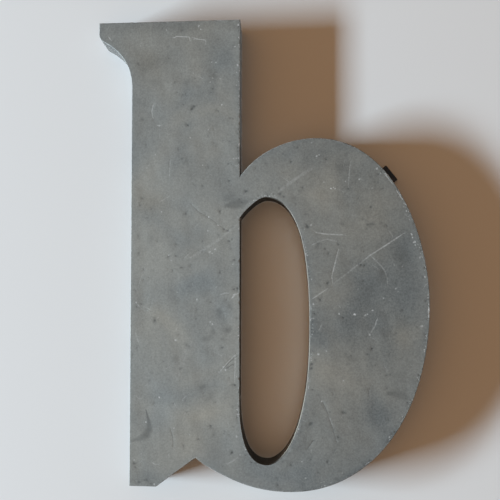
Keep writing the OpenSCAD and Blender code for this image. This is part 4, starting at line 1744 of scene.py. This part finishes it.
@dataclass
class Lug:
    """A steel strip bent square: one leg soldered in a return, one on the wall with a hole."""

    node: str
    place: LugPlace
    run: Run
    stock: SheetStock
    width: float = 20
    thickness: float = 1.5
    reach: float = 12
    leg_h: float = 14
    hole_d: float = 4.5
    hole_out: float = 6
    seat: float = 0.5
    bend: float = 2.6
    corner: float = 0.9
    edge: float = 0.18
    pitch: float = 0.9
    hole_points: int = 32
    # Distances that the grid's points keep from the long edges, from the ends and from the hole
    side_clear: float = 1.2
    end_clear: float = 0.8
    hole_clear: float = 0.7
    solder_spread: float = 3.0
    lumps: Waves = Waves(1, ((0.1, 3, 61),))
    # How far the solder stays below the leg's top, and above the bend
    solder_gaps: Point = (0.35, 0.4)
    # The search for the return's wall starts this far inside the outline
    start_in: float = 14

    @property
    def heel(self) -> float:
        """How far behind the outline the leg's rear side stands."""
        return self.stock.return_t + self.seat + self.thickness

    def _folded(self, flat: np.ndarray, up: float) -> np.ndarray:
        """Bends points of the flat blank.

        Args:
            flat: Distance from the outer end along the blank, and place across it.
            up: Distance from the side that lies on the wall.

        Returns:
            Rows of x, height and depth.
        """
        straight = self.reach + self.heel - self.bend
        run = flat[:, 0]
        turn = np.clip((run - straight) / self.bend, 0, math.pi / 2)
        rise = np.clip(run - straight - self.bend * math.pi / 2, 0, None)
        radius = self.bend - up
        out = self.reach - np.minimum(run, straight) - radius * np.sin(turn)
        depth = self.bend - radius * np.cos(turn) + rise
        return np.column_stack([self.place.at(out, flat[:, 1]), depth])

    def make(self, finishes: Finishes) -> bpy.types.Object:
        """Builds the lug as one closed skin with a drilled hole.

        Args:
            finishes: Of the steel.

        Returns:
            The object.
        """
        piece = Piece(self.node, "lug_steel")
        bent = self.bend * math.pi / 2
        length = self.reach + self.heel - self.bend + bent + self.leg_h - self.bend
        blank, centre = self._blank(length), (self.reach - self.hole_out, 0)
        turns = np.linspace(0, 2 * math.pi, self.hole_points, endpoint=False)
        hole = np.column_stack([np.cos(turns), -np.sin(turns)]) * self.hole_d / 2 + centre
        half = self.width / 2 - self.side_clear
        along = np.arange(self.side_clear, length - self.end_clear, self.pitch)
        grid = np.array([(u, v) for u in along for v in np.linspace(-half, half, 12)])
        grid = grid[np.linalg.norm(grid - centre, axis=1) > self.hole_d / 2 + self.hole_clear]
        t, edge, count = self.thickness, self.edge, len(blank.points)
        starts = []
        for up, inset in ((0.0, edge), (edge, 0.0), (t - edge, 0.0), (t, edge)):
            loops = [blank.moved(inset), hole + (hole - centre) * inset * 2 / self.hole_d]
            flat, triangles = filled(loops, grid) if inset else (np.vstack(loops), [])
            starts.append(piece.count)
            rim = (np.arange(len(flat)) < count + len(hole)).astype(float)
            piece.add(self._folded(flat, up), triangles, rim=rim)
        for loop in (np.arange(count), count + np.arange(len(hole))):
            piece.bridge([start + loop for start in starts], (0, 0, 0))
        return piece.build(finishes, sharp=40)

    def _blank(self, length: float) -> Run:
        """Draws the edge of the flat blank, with its corners rounded off.

        Args:
            length: Length of the blank.

        Returns:
            The edge, anticlockwise.
        """
        r = self.corner
        far, half = length - r, self.width / 2 - r
        corners = (((r, -half), 180), ((far, -half), 270), ((far, half), 0), ((r, half), 90))
        closed = [polar(at, r, start + a) for at, start in corners for a in (0, 22.5, 45, 67.5, 90)]
        rows = [direct(a, b, self.pitch) for a, b in zip(closed, [*closed[1:], closed[0]])]
        return Run(np.vstack(rows), {})

    def make_solder(self, node: str, finishes: Finishes) -> bpy.types.Object:
        """Builds the solder behind the leg and along both its sides.

        Args:
            node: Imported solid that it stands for.
            finishes: Of the solder.

        Returns:
            The object.
        """
        piece = Piece(node, "solder")
        half, spread = self.width / 2, self.solder_spread
        below, above = self.solder_gaps
        low, behind = self.thickness + above, -self.heel + self.thickness
        beside = np.linspace(half + 0.02, half + spread, 7)
        middle = np.linspace(-half + 0.02, half - 0.02, 9)
        levels = np.linspace(0, 1, 9)
        sections = []
        for v in (*-beside[::-1], *middle, *beside):
            origin = self.place.at(-self.start_in, v)
            met = self.run.hit(origin, self.place.out, self.stock.return_t)
            wall = (met - self.place.origin) @ self.place.out
            past = max(0.0, abs(v) - half) / spread
            free, rise, thin = behind, self.leg_h - below - low, 0.0
            if past:
                bump = self.lumps.at(v, wall)
                free = wall + (-self.heel + 0.15 - wall) * max(0.04, 1 - past) ** 1.35
                rise = self.leg_h - (0.3 + 2.2 * past**2) * bump - low
                thin = 0.75
            ring = [(wall, low + rise * s) for s in levels]
            for s in reversed(levels):
                swell = 1 - thin * max(0.0, (s - 0.8) / 0.2) ** 2
                ring.append((wall + (free - wall) * swell, low + rise * s))
            sections.append([(*self.place.at(u, v), z) for u, z in ring])
        piece.sweep(np.array(sections))
        return piece.build(finishes, sharp=60)


def add_node(
    tree: bpy.types.NodeTree,
    kind: str,
    links: dict | None = None,
    out: int | str = 0,
    **settings: object,
) -> bpy.types.NodeSocket:
    """Adds a node with its settings and links.

    Args:
        tree: Node tree that it goes into.
        kind: Blender's name of the node, without the ShaderNode that all begin with.
        links: Values or sockets for its inputs, by name or number.
        out: Output that is wanted.
        **settings: The node's own properties.

    Returns:
        The wanted output socket.
    """
    node = tree.nodes.new(f"ShaderNode{kind}")
    for name, value in settings.items():
        setattr(node, name, value)
    for name, value in (links or {}).items():
        if isinstance(value, bpy.types.NodeSocket):
            tree.links.new(value, node.inputs[name])
        else:
            node.inputs[name].default_value = value
    return node.outputs[out] if node.outputs else None


def blank_material(name: str) -> tuple[bpy.types.Material, Callable[..., bpy.types.NodeSocket]]:
    """Makes a material with an empty node tree.

    Args:
        name: Name of the material.

    Returns:
        The material, and `add_node` for its tree.
    """
    made = bpy.data.materials.new(name)
    made.use_nodes = True
    made.node_tree.nodes.clear()
    return made, partial(add_node, made.node_tree)


def noise_settings(where: bpy.types.NodeSocket, size_mm: float, detail: float = 2.0) -> dict:
    """Inputs of a noise whose clouds are some millimetres wide."""
    return {"Vector": where, "Scale": 1 / (size_mm * MM), "Detail": detail}


@dataclass(frozen=True)
class ZincSheet:
    """Rolled zinc sheet under a dull grey carbonate skin.

    The skin gives the eye a matt grey with soft bluish and olive clouds, fine mottling and a grain
    of tiny specks. Bare metal shows as pale, shinier lines and chips where it has been rubbed.
    """

    name: str
    cool: str = "#7e8484"
    warm: str = "#85847c"
    dark: str = "#3b3d3c"
    bare: str = "#c6caca"
    solder: str = "#8d9090"
    stain: str = "#4d4f4d"
    roughness: float = 0.7
    bare_roughness: float = 0.42
    metallic: float = 0.25
    solder_metallic: float = 0.85
    # Sizes of its patches, clouds, mottling, grain and streaks, and how strongly each shows
    patch_mm: float = 80
    cloud_mm: float = 17
    mottle_mm: float = 5.5
    grain_mm: float = 1.6
    streak_mm: float = 3.2
    patching: float = 0.12
    clouding: float = 0.035
    mottling: float = 0.037
    graining: float = 0.14
    streaking: float = 0.015
    speck_mm: float = 5.0
    speck: float = 0.3
    # How strongly the pieces' own marks show
    rim: float = 0.32
    soiling: float = 0.92
    staining: float = 0.85
    toning: float = 0.36
    warming: float = 0.6
    # How far the mottling changes the roughness, and how high it stands
    dulling: float = 0.22
    bump_mm: float = 0.05

    def material(self) -> bpy.types.Material:
        """Builds the finish.

        Returns:
            The material.
        """
        made, node = blank_material(self.name)
        marks = {
            name: node("Attribute", out="Fac", attribute_name=name)
            for name in ("pale", "dark", "stain", "tone", "warmth", "rim", "solder", "grime")
        }
        where = node("TexCoord", out="Object")
        noise = {
            name: node("TexNoise", {**noise_settings(where, size, detail), "Distortion": wisp})
            for name, size, detail, wisp in (
                ("patch", self.patch_mm, 1.0, 1.2),
                ("cloud", self.cloud_mm, 2.0, 0.9),
                ("mottle", self.mottle_mm, 2.0, 0.4),
                ("grain", self.grain_mm, 2.0, 0.0),
            )
        }
        # Rolling and rain leave faint upright streaks
        drawn = node("Mapping", {"Vector": where, "Scale": (1.0, 1.0, 0.07)})
        noise["streak"] = node("TexNoise", noise_settings(drawn, self.streak_mm))
        skin = self._skin(node, marks, noise)
        # Specks, drawn no finer than the render can show
        cells = {"Vector": where, "Scale": 1 / (self.speck_mm * MM)}
        pick = node("SeparateColor", {"Color": node("TexVoronoi", cells, out="Color")})
        few = node("MapRange", {"Value": pick, "From Min": 0.72, "From Max": 0.95})
        middle = node("TexVoronoi", cells, out="Distance")
        speck = node("MapRange", {"Value": middle, "From Min": 0.17, "From Max": 0.08})
        speck = node("Math", {0: speck, 1: few}, operation="MULTIPLY")
        speck = node("Math", {0: speck, 1: self.speck}, operation="MULTIPLY")
        soiled = node("Math", {0: marks["dark"], 1: self.soiling}, operation="MULTIPLY")
        speck = node("Math", {0: speck, 1: soiled}, operation="MAXIMUM")
        smear = node("Math", {0: marks["stain"], 1: self.staining}, operation="MULTIPLY")
        # Solder runs out on the sheet beside a joint, in uneven edges
        flow = {0: noise["mottle"], 1: 1.6, 2: marks["solder"]}
        flow = node("Math", flow, operation="MULTIPLY_ADD")
        flow = node("MapRange", {"Value": flow, "From Min": 1.15, "From Max": 1.5})
        dirt = node("Math", {0: marks["grime"], 1: noise["cloud"]}, operation="MULTIPLY")
        rubbed = self._rubbed(node, marks, noise)
        for amount, colour in (
            (smear, self.stain),
            (speck, self.dark),
            (flow, self.solder),
            (dirt, self.dark),
            (rubbed, self.bare),
        ):
            skin = node("Mix", {0: amount, 6: skin, 7: linear(colour)}, out=2, data_type="RGBA")
        metal = {"Value": flow, "To Min": self.metallic, "To Max": self.solder_metallic}
        shine = node("Math", {0: rubbed, 1: flow}, operation="MAXIMUM")
        dull = {"Value": shine, "To Min": self.roughness, "To Max": self.bare_roughness}
        dull = {0: noise["mottle"], 1: self.dulling, 2: node("MapRange", dull)}
        dull = {0: node("Math", dull, operation="MULTIPLY_ADD"), 1: self.dulling / 2}
        relief = {0: noise["mottle"], 1: 1.4, 2: noise["grain"]}
        relief = node("Math", relief, operation="MULTIPLY_ADD")
        relief = {"Height": relief, "Distance": self.bump_mm * MM, "Strength": 0.6}
        shader = node("BsdfPrincipled", {
            "Base Color": skin,
            "Metallic": node("MapRange", metal),
            "Roughness": node("Math", dull, operation="SUBTRACT", use_clamp=True),
            "Normal": node("Bump", relief),
        })
        node("OutputMaterial", {"Surface": shader})
        return made

    def _skin(self, node: Callable, marks: dict, noise: dict) -> bpy.types.NodeSocket:
        """Colour of the carbonate skin before any mark.

        Args:
            node: Adds a node to the material.
            marks: Values that the pieces carry, by name.
            noise: Noises, by name.

        Returns:
            The colour.
        """
        hue = node("MapRange", {"Value": noise["patch"], "From Min": 0.05, "From Max": 0.95})
        hue = {0: marks["warmth"], 1: self.warming, 2: hue}
        hue = node("Math", hue, operation="MULTIPLY_ADD")
        hue = node("Math", {0: hue, 1: 0.0}, operation="ADD", use_clamp=True)
        colours = {0: hue, 6: linear(self.cool), 7: linear(self.warm)}
        skin = node("Mix", colours, out=2, data_type="RGBA")
        shade = {0: marks["tone"], 1: self.toning, 2: 1.0}
        shade = node("Math", shade, operation="MULTIPLY_ADD")
        for name, amount in (
            ("patch", self.patching),
            ("cloud", self.clouding),
            ("mottle", self.mottling),
            ("grain", self.graining),
            ("streak", self.streaking),
        ):
            level = node("Math", {0: noise[name], 1: 0.5}, operation="SUBTRACT")
            shade = node("Math", {0: level, 1: amount * 4, 2: shade}, operation="MULTIPLY_ADD")
        return node("VectorMath", {0: skin, "Scale": shade}, operation="SCALE")

    def _rubbed(self, node: Callable, marks: dict, noise: dict) -> bpy.types.NodeSocket:
        """How bare the metal is: along the rim and in the scratches, in broken lengths.

        Args:
            node: Adds a node to the material.
            marks: Values that the pieces carry, by name.
            noise: Noises, by name.

        Returns:
            A share from 0 to 1.
        """
        rough = node("Math", {0: noise["mottle"], 1: noise["grain"]}, operation="ADD")
        worn = node("MapRange", {"Value": rough, "From Min": 0.86, "From Max": 1.16})
        worn = node("Math", {0: worn, 1: marks["rim"]}, operation="MULTIPLY")
        worn = node("Math", {0: worn, 1: self.rim}, operation="MULTIPLY")
        broken = {"From Min": 0.75, "From Max": 1.15, "To Min": 0.4, "To Max": 1.0}
        broken = node("MapRange", {"Value": rough, **broken})
        rubbed = node("Math", {0: marks["pale"], 1: broken}, operation="MULTIPLY")
        return node("Math", {0: rubbed, 1: worn}, operation="MAXIMUM", use_clamp=True)


@dataclass(frozen=True)
class TinLeadSolder:
    """Tin-lead solder run with an iron and left as it set.

    It gives the eye a soft silvery grey, smoother and brighter than the sheet, dull in the hollows
    where flux has burnt on.
    """

    name: str = "tin_lead_solder_iron_run"
    metal: str = "#a3a6a6"
    dull: str = "#6f7170"
    flux: str = "#5d4f3f"
    lump_mm: float = 3.5
    grain_mm: float = 0.9
    burnt_mm: float = 14
    bump_mm: float = 0.12

    def material(self) -> bpy.types.Material:
        """Builds the finish.

        Returns:
            The material.
        """
        made, node = blank_material(self.name)
        where = node("TexCoord", out="Object")
        crown = node("Attribute", out="Fac", attribute_name="crown")
        lump = node("TexNoise", noise_settings(where, self.lump_mm, 3.0))
        grain = node("TexNoise", noise_settings(where, self.grain_mm))
        wide = node("TexNoise", noise_settings(where, self.burnt_mm))
        bright = node("MapRange", {"Value": lump, "From Min": 0.32, "From Max": 0.62})
        colours = {0: bright, 6: linear(self.dull), 7: linear(self.metal)}
        skin = node("Mix", colours, out=2, data_type="RGBA")
        burnt = node("MapRange", {"Value": wide, "From Min": 0.52, "From Max": 0.68})
        bare = node("MapRange", {"Value": crown, "To Min": 0.85, "To Max": 0.3})
        burnt = node("Math", {0: burnt, 1: bare}, operation="MULTIPLY")
        colours = {0: burnt, 6: skin, 7: linear(self.flux)}
        relief = node("Math", {0: lump, 1: 3.0, 2: grain}, operation="MULTIPLY_ADD")
        relief = {"Height": relief, "Distance": self.bump_mm * MM, "Strength": 0.7}
        shader = node("BsdfPrincipled", {
            "Base Color": node("Mix", colours, out=2, data_type="RGBA"),
            "Metallic": node("MapRange", {"Value": burnt, "To Min": 0.85, "To Max": 0.1}),
            "Roughness": node("MapRange", {"Value": grain, "To Min": 0.3, "To Max": 0.5}),
            "Normal": node("Bump", relief),
        })
        node("OutputMaterial", {"Surface": shader})
        return made


@dataclass(frozen=True)
class BlackenedSteel:
    """Mild steel strip, heat-blackened, with the first rust coming through.

    It gives the eye an almost black brown, satin on the flats, with greyer rubbed edges.
    """

    name: str = "mild_steel_heat_blackened"
    black: str = "#140f0c"
    rust: str = "#2c1b12"
    edge: str = "#332e2a"
    scale_mm: float = 4.0
    grain_mm: float = 0.8
    bump_mm: float = 0.08

    def material(self) -> bpy.types.Material:
        """Builds the finish.

        Returns:
            The material.
        """
        made, node = blank_material(self.name)
        where = node("TexCoord", out="Object")
        rim = node("Attribute", out="Fac", attribute_name="rim")
        scale = node("TexNoise", noise_settings(where, self.scale_mm, 4.0))
        grain = node("TexNoise", noise_settings(where, self.grain_mm))
        rusted = node("MapRange", {"Value": scale, "From Min": 0.5, "From Max": 0.7})
        colours = {0: rusted, 6: linear(self.black), 7: linear(self.rust)}
        skin = node("Mix", colours, out=2, data_type="RGBA")
        rubbed = node("Math", {0: rim, 1: grain}, operation="MULTIPLY")
        colours = {0: rubbed, 6: skin, 7: linear(self.edge)}
        dull = {"From Min": 0.3, "From Max": 0.7, "To Min": 0.5, "To Max": 0.8}
        relief = {"Height": grain, "Distance": self.bump_mm * MM, "Strength": 0.6}
        shader = node("BsdfPrincipled", {
            "Base Color": node("Mix", colours, out=2, data_type="RGBA"),
            "Metallic": node("MapRange", {"Value": rusted, "To Min": 0.6, "To Max": 0.1}),
            "Roughness": node("MapRange", {"Value": scale, **dull}),
            "Normal": node("Bump", relief),
        })
        node("OutputMaterial", {"Surface": shader})
        return made


@dataclass(frozen=True)
class SoftLamp:
    """A rectangular lamp aimed at the middle of the letter; a hidden one has no mirror image."""

    name: str
    way: Triple
    distance: float
    size: Point
    watts: float
    colour: Triple = (1.0, 1.0, 1.0)
    hidden: bool = True
    aim: Triple = (0.08, 0.0, -0.25)

    def put(self) -> None:
        """Adds the lamp to the scene, unseen by the camera."""
        data = bpy.data.lights.new(self.name, "AREA")
        data.shape, data.size, data.size_y = "RECTANGLE", *self.size
        data.energy, data.color = self.watts, self.colour
        lamp = bpy.data.objects.new(self.name, data)
        way = Vector(self.way).normalized()
        lamp.location = Vector(self.aim) + way * self.distance
        lamp.rotation_euler = way.to_track_quat("Z", "Y").to_euler()
        lamp.visible_camera = False
        lamp.visible_glossy = not self.hidden
        bpy.context.scene.collection.objects.link(lamp)


@dataclass
class Studio:
    """The pale wall that the letter hangs on, the floor, the light and the camera."""

    wall_colour: str = "#d4d9db"
    floor_colour: str = "#d6d9da"
    card_colour: str = "#2c2a27"
    lift_colour: str = "#bccad2"
    backdrop: str = "#dfe2e3"
    floor_lift: float = 0.46
    # The room's own light is warm, so that shadows are brown beside the cool window light
    fill_front: Triple = (0.345, 0.2, 0.112)
    fill_back: Triple = (0.08, 0.08, 0.08)
    # Half the width of the step between both fills, in the upright plane through the letter
    fill_step: float = 0.05
    # Strength of the fill from the left, where the window is, and from the right
    fill_sides: Point = (1.8, 0.2)
    # Seen along the strips' surfaces, mirror images of the lamps behind would glare in front views
    lamps: tuple[SoftLamp, ...] = (
        SoftLamp("behind_left", (-1.0, 0.85, 0.0), 2.2, (0.7, 0.7), 34),
        SoftLamp("behind", (-0.25, 1.0, 0.1), 2.5, (0.9, 0.9), 72),
        SoftLamp("right", (1.0, 0.35, 0.05), 2.5, (0.8, 1.2), 24, (0.75, 0.92, 1.05)),
    )
    # A tall, narrow window: shadows end softly upwards and downwards and fairly sharply to the side
    window: SoftLamp = SoftLamp(
        "window",
        (-0.9711, -0.2385, -0.1748),
        6.5,
        (0.45, 2.77),
        1370,
        (0.79, 0.945, 1.06),
        hidden=False,
    )
    camera_at: Triple = (0.0974, -0.64188, -0.2989)
    camera_turn: Triple = (91.57, -0.12, 3.6267)
    lens: float = 41.904
    sensor: float = 36
    shift: Point = (0.0206, 0.0544)
    wall_y: float = 0.0006
    floor_z: float = -0.562
    stage_half: float = 4.0
    # How far behind the wall's plane the card stands, in millimetres
    card_back: float = 1.2

    def camera(self) -> None:
        """Places the camera at the photograph's viewing angle."""
        data = bpy.data.cameras.new("camera")
        data.lens, data.sensor_width = self.lens, self.sensor
        data.shift_x, data.shift_y = self.shift
        camera = bpy.data.objects.new("camera", data)
        camera.location = self.camera_at
        camera.rotation_euler = Euler([math.radians(a) for a in self.camera_turn])
        bpy.context.scene.collection.objects.link(camera)
        bpy.context.scene.camera = camera

    def _shown(self, node: Callable) -> bpy.types.NodeSocket:
        """Whether a ray shows a thing to the camera, straight, mirrored or through glass.

        Args:
            node: Adds a node to the tree.

        Returns:
            1 or 0.
        """
        kinds = ("Camera", "Glossy", "Transmission")
        seen, *others = [node("LightPath", out=f"Is {kind} Ray") for kind in kinds]
        bent = node("Math", {0: others[0], 1: others[1]}, operation="MAXIMUM")
        return node("Math", {0: seen, 1: bent}, operation="MAXIMUM")

    def _plane(
        self, name: str, corners: Sequence[Triple], material: bpy.types.Material
    ) -> bpy.types.Object:
        """Adds a flat piece of the set, which isn't part of the letter.

        Args:
            name: Name of the piece.
            corners: Its corners in the frame, in metres.
            material: Its finish.

        Returns:
            The object.
        """
        mesh = bpy.data.meshes.new(name)
        mesh.from_pydata([*corners], [], [tuple(range(len(corners)))])
        mesh.materials.append(material)
        plane = bpy.data.objects.new(name, mesh)
        bpy.context.scene.collection.objects.link(plane)
        return plane

    def _paint(
        self, name: str, colour: str, one_sided: bool = False, lift: float = 0
    ) -> bpy.types.Material:
        """Matt emulsion paint, plain and without gloss.

        Args:
            name: Name of the material.
            colour: Its colour.
            one_sided: Whether it is open seen from behind.
            lift: How much paler it is drawn for the camera alone, so that the floor isn't gloomy.

        Returns:
            The material.
        """
        made, node = blank_material(name)
        shader = node("BsdfDiffuse", {"Color": linear(colour)})
        if lift:
            glow = node("Math", {0: self._shown(node), 1: lift}, operation="MULTIPLY")
            glow = node("Emission", {"Color": linear(self.lift_colour), "Strength": glow})
            shader = node("AddShader", {0: shader, 1: glow})
        if one_sided:
            behind = node("NewGeometry", out="Backfacing")
            shader = node("MixShader", {0: behind, 1: shader, 2: node("BsdfTransparent")})
        node("OutputMaterial", {"Surface": shader})
        return made

    def stage(self, counter: Run) -> None:
        """Puts up the wall, open from behind so that the letter's back can be seen, and the floor.

        Args:
            counter: The counter's line, where a dark card stands against the lamps behind.
        """
        s, low, y = self.stage_half, self.floor_z, self.wall_y
        upright = [(-s, y, low), (s, y, low), (s, y, s), (-s, y, s)]
        level = [(-s, -s, low), (s, -s, low), (s, s, low), (-s, s, low)]
        depth = np.full(len(counter.points), -self.card_back)
        ring = to_frame(np.column_stack([counter.points, depth])).tolist()
        paint = self._paint("matt_wall_paint", self.wall_colour, one_sided=True)
        wall = self._plane("stage_wall", upright, paint)
        card = self._plane("stage_card", ring, self._paint("grey_card", self.card_colour))
        paint = self._paint("matt_floor_paint", self.floor_colour, lift=self.floor_lift)
        floor = self._plane("stage_floor", level, paint)
        card.visible_camera = False
        # The window's light comes from below the floor's level, so the floor lets it through, and
        # the lamps behind the wall don't reach the letter's front by way of the floor
        for plane in (wall, floor):
            plane.visible_diffuse = plane.visible_shadow = False

    def light(self) -> None:
        """A tall window low on the left, weak lamps behind the wall's plane, and a soft fill."""
        for lamp in (self.window, *self.lamps):
            lamp.put()
        world = bpy.data.worlds.new("studio")
        bpy.context.scene.world = world
        world.use_nodes = True
        world.node_tree.nodes.clear()
        node = partial(add_node, world.node_tree)
        way = node("TexCoord", out="Generated")
        depth, across = (node("SeparateXYZ", {0: way}, out=axis) for axis in "YX")
        step, (left, right) = self.fill_step, self.fill_sides
        back = node("MapRange", {"Value": depth, "From Min": -step, "From Max": step})
        sides = {"From Min": -1.0, "From Max": 1.0, "To Min": left, "To Max": right}
        colour = {0: back, 6: (*self.fill_front, 1), 7: (*self.fill_back, 1)}
        fill = node("Background", {
            "Color": node("Mix", colour, out=2, data_type="RGBA"),
            "Strength": node("MapRange", {"Value": across, **sides}),
        })
        backdrop = node("Background", {"Color": linear(self.backdrop), "Strength": 1.0})
        both = node("MixShader", {0: self._shown(node), 1: fill, 2: backdrop})
        node("OutputWorld", {"Surface": both})
        bpy.context.scene.view_settings.view_transform = "Standard"


# Weathering that all returns share
STRIP = {"rim": 0.3, "patching": 0.2, "metallic": 0.3, "roughness": 0.75}


@dataclass
class SignLetter:
    """The whole letter: every sub-assembly in the order in which it is made up."""

    shape: LetterShape = field(default_factory=LetterShape)
    stock: SheetStock = field(default_factory=SheetStock)
    # Place of the bowl's lug along the upper right curve, and what its direction is taken from
    lug_share: float = 0.38
    lug_step: float = 0.01
    slot_half: float = 10.2
    # How steeply a slot's ends rise
    slot_slope: float = 0.03
    # The search for a slot's ends starts this far inside the outline
    start_in: float = 9
    # Heights of the level braces
    brace_heights: tuple[float, ...] = (400, 215, 75, 165)

    def make(self) -> None:
        """Builds and dresses every piece."""
        outline, counter = self.shape.outline(), self.shape.counter()
        lugs = self._lug_places()
        for place in lugs.values():
            self._cut_points(outline, place)
        # The strips' finishes read their tone, which holds painted shade: in the counter, and on
        # the sides that face left
        side = ZincSheet("zinc_return_weathered_and_shaded", "#747576", "#787771", **STRIP).material()
        counter_stain_and_shade = ZincSheet("zinc_counter_return_stain_and_shade", "#7a7670", "#7a7469", **STRIP).material()
        inner = ZincSheet(
            "zinc_inner_dull",
            "#767d80",
            "#807c70",
            roughness=0.5,
            metallic=0.5,
            rim=0.4,
            patching=0.27,
            clouding=0.1,
            mottling=0.06,
        ).material()
        solder = TinLeadSolder().material()
        self._make_face(outline, counter, inner, side)
        strips = {
            "foot": (outline, "foot", "toe"),
            "bowl_lower": (outline, "toe", "bowl_right"),
            "bowl_upper": (outline, "bowl_right", "crotch"),
            "stem_right": (outline, "crotch", "top_right"),
            "top": (outline, "top_right", "top_left"),
            "serif": (outline, "top_left", "serif_end"),
            "stem_left": (outline, "serif_end", "foot"),
            "counter_stem": (counter, "turn", "peak"),
            "counter_bowl": (counter, "peak", "turn"),
        }
        slots = {"bowl_upper": lugs["bowl"], "top": lugs["top"]}
        for name, (run, first, last) in strips.items():
            within = run is counter
            node = f"counter_return_{name[8:]}" if within else f"return_{name}"
            strip = Return(node, run, first, last, self.stock, slots.get(name), self.slot_half)
            strip.shade_painted = within
            strip.make([counter_stain_and_shade if within else side, inner])
            Seam(f"seam_{name}", run, first, last, self.stock).make([solder])
        for name in ("foot", "toe", "crotch", "top_right", "top_left", "peak"):
            run = counter if name == "peak" else outline
            CornerSolder(f"corner_solder_{name}", run, name, self.stock).make([solder])
        for name, run, joint in (
            ("stem", outline, "serif_end"),
            ("bowl", outline, "bowl_right"),
            ("counter", counter, "turn"),
        ):
            Splice(f"splice_{name}", run, joint, self.stock).make([inner])
        for name, ends in self._brace_ends(outline, counter).items():
            brace = Brace(f"brace_{name}", ends, self.stock)
            brace.make([inner])
            brace.make_solder(f"solder_brace_{name}", [solder])
        steel = BlackenedSteel().material()
        for name, place in lugs.items():
            lug = Lug(f"lug_{name}", place, outline, self.stock)
            lug.make([steel])
            lug.make_solder(f"solder_lug_{name}", [solder])

    def _make_face(
        self, outline: Run, counter: Run, inner: bpy.types.Material, side: bpy.types.Material
    ) -> None:
        """Builds the face plate with its marks.

        Args:
            outline: The letter's outer line.
            counter: The counter's line.
            inner: Finish of its rear.
            side: Finish of its edge round the outline.
        """
        face = ZincSheet("zinc_face_weathered").material()
        # Painted shade: the rim round the counter is drawn near black, with a brownish bare line
        counter_edge_shade = ZincSheet(
            "zinc_counter_edge_painted_shade",
            "#32302d",
            "#37332d",
            bare="#a08f74",
            rim=0.6,
            roughness=0.85,
            metallic=0.1,
        ).material()
        marks = FaceMarks()
        marks.gather(outline, counter)
        FacePlate(outline, counter, self.stock, marks).make([face, inner, side, counter_edge_shade])

    def _lug_places(self) -> dict[str, LugPlace]:
        """Finds where the two lugs leave the letter.

        Returns:
            Their places by name.
        """
        shares = self.lug_share + self.lug_step * np.array([-1, 0, 1])
        before, (x, height), after = bezier(*self.shape.upper_right(), shares)
        run = after - before
        bowl = LugPlace(float(x), float(height), math.degrees(math.atan2(run[1], run[0])) + 90)
        return {"top": LugPlace(HUNG_AT[0], self.shape.stem_h, 90), "bowl": bowl}

    def _cut_points(self, outline: Run, place: LugPlace) -> None:
        """Puts points on the outline where the slot of a lug starts and ends.

        Args:
            outline: The letter's outer line.
            place: The lug's place.
        """
        for edge in (-self.slot_half, self.slot_half):
            for nudge in (-self.slot_slope, self.slot_slope):
                inner = place.at(-self.start_in, edge + nudge)
                outline.put([tuple(outline.hit(inner, place.out, 0.0))])

    def _brace_ends(
        self, outline: Run, counter: Run
    ) -> dict[str, tuple[tuple[Run, Point], tuple[Run, Point]]]:
        """Finds where each brace runs.

        Args:
            outline: The letter's outer line.
            counter: The counter's line.

        Returns:
            By name, the lines and points from which and to which a brace runs.
        """
        shape, w = self.shape, self.shape.stem_w
        upper, middle, foot, bowl = self.brace_heights

        def on(handles: Handles, share: float) -> Point:
            """A point of a curve at a share of its run."""
            x, height = bezier(*handles, np.array([share]))[0]
            return (float(x), float(height))

        return {
            "stem_upper": ((outline, (0, upper)), (outline, (w, upper))),
            "stem_middle": ((outline, (0, middle)), (counter, (w, middle))),
            "foot": ((outline, (0, foot)), (counter, (w, foot))),
            "bowl_upper": (
                (counter, on(shape.counter_upper(), 0.2)),
                (outline, on(shape.upper_right(), 0.1)),
            ),
            "bowl_middle": (
                (counter, (shape.counter_right[0], bowl)),
                (outline, (shape.bowl_right[0], bowl)),
            ),
            "bowl_lower": (
                (counter, on(shape.counter_lower(), 0.4)),
                (outline, on(shape.lower_right(), 0.5)),
            ),
        }


def main() -> None:
    """Builds the set and the letter."""
    logging.basicConfig(level=logging.INFO, format="%(message)s")
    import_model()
    shape, studio = LetterShape(), Studio()
    studio.camera()
    studio.stage(shape.counter())
    studio.light()
    SignLetter(shape).make()


if __name__ == "__main__":
    main()
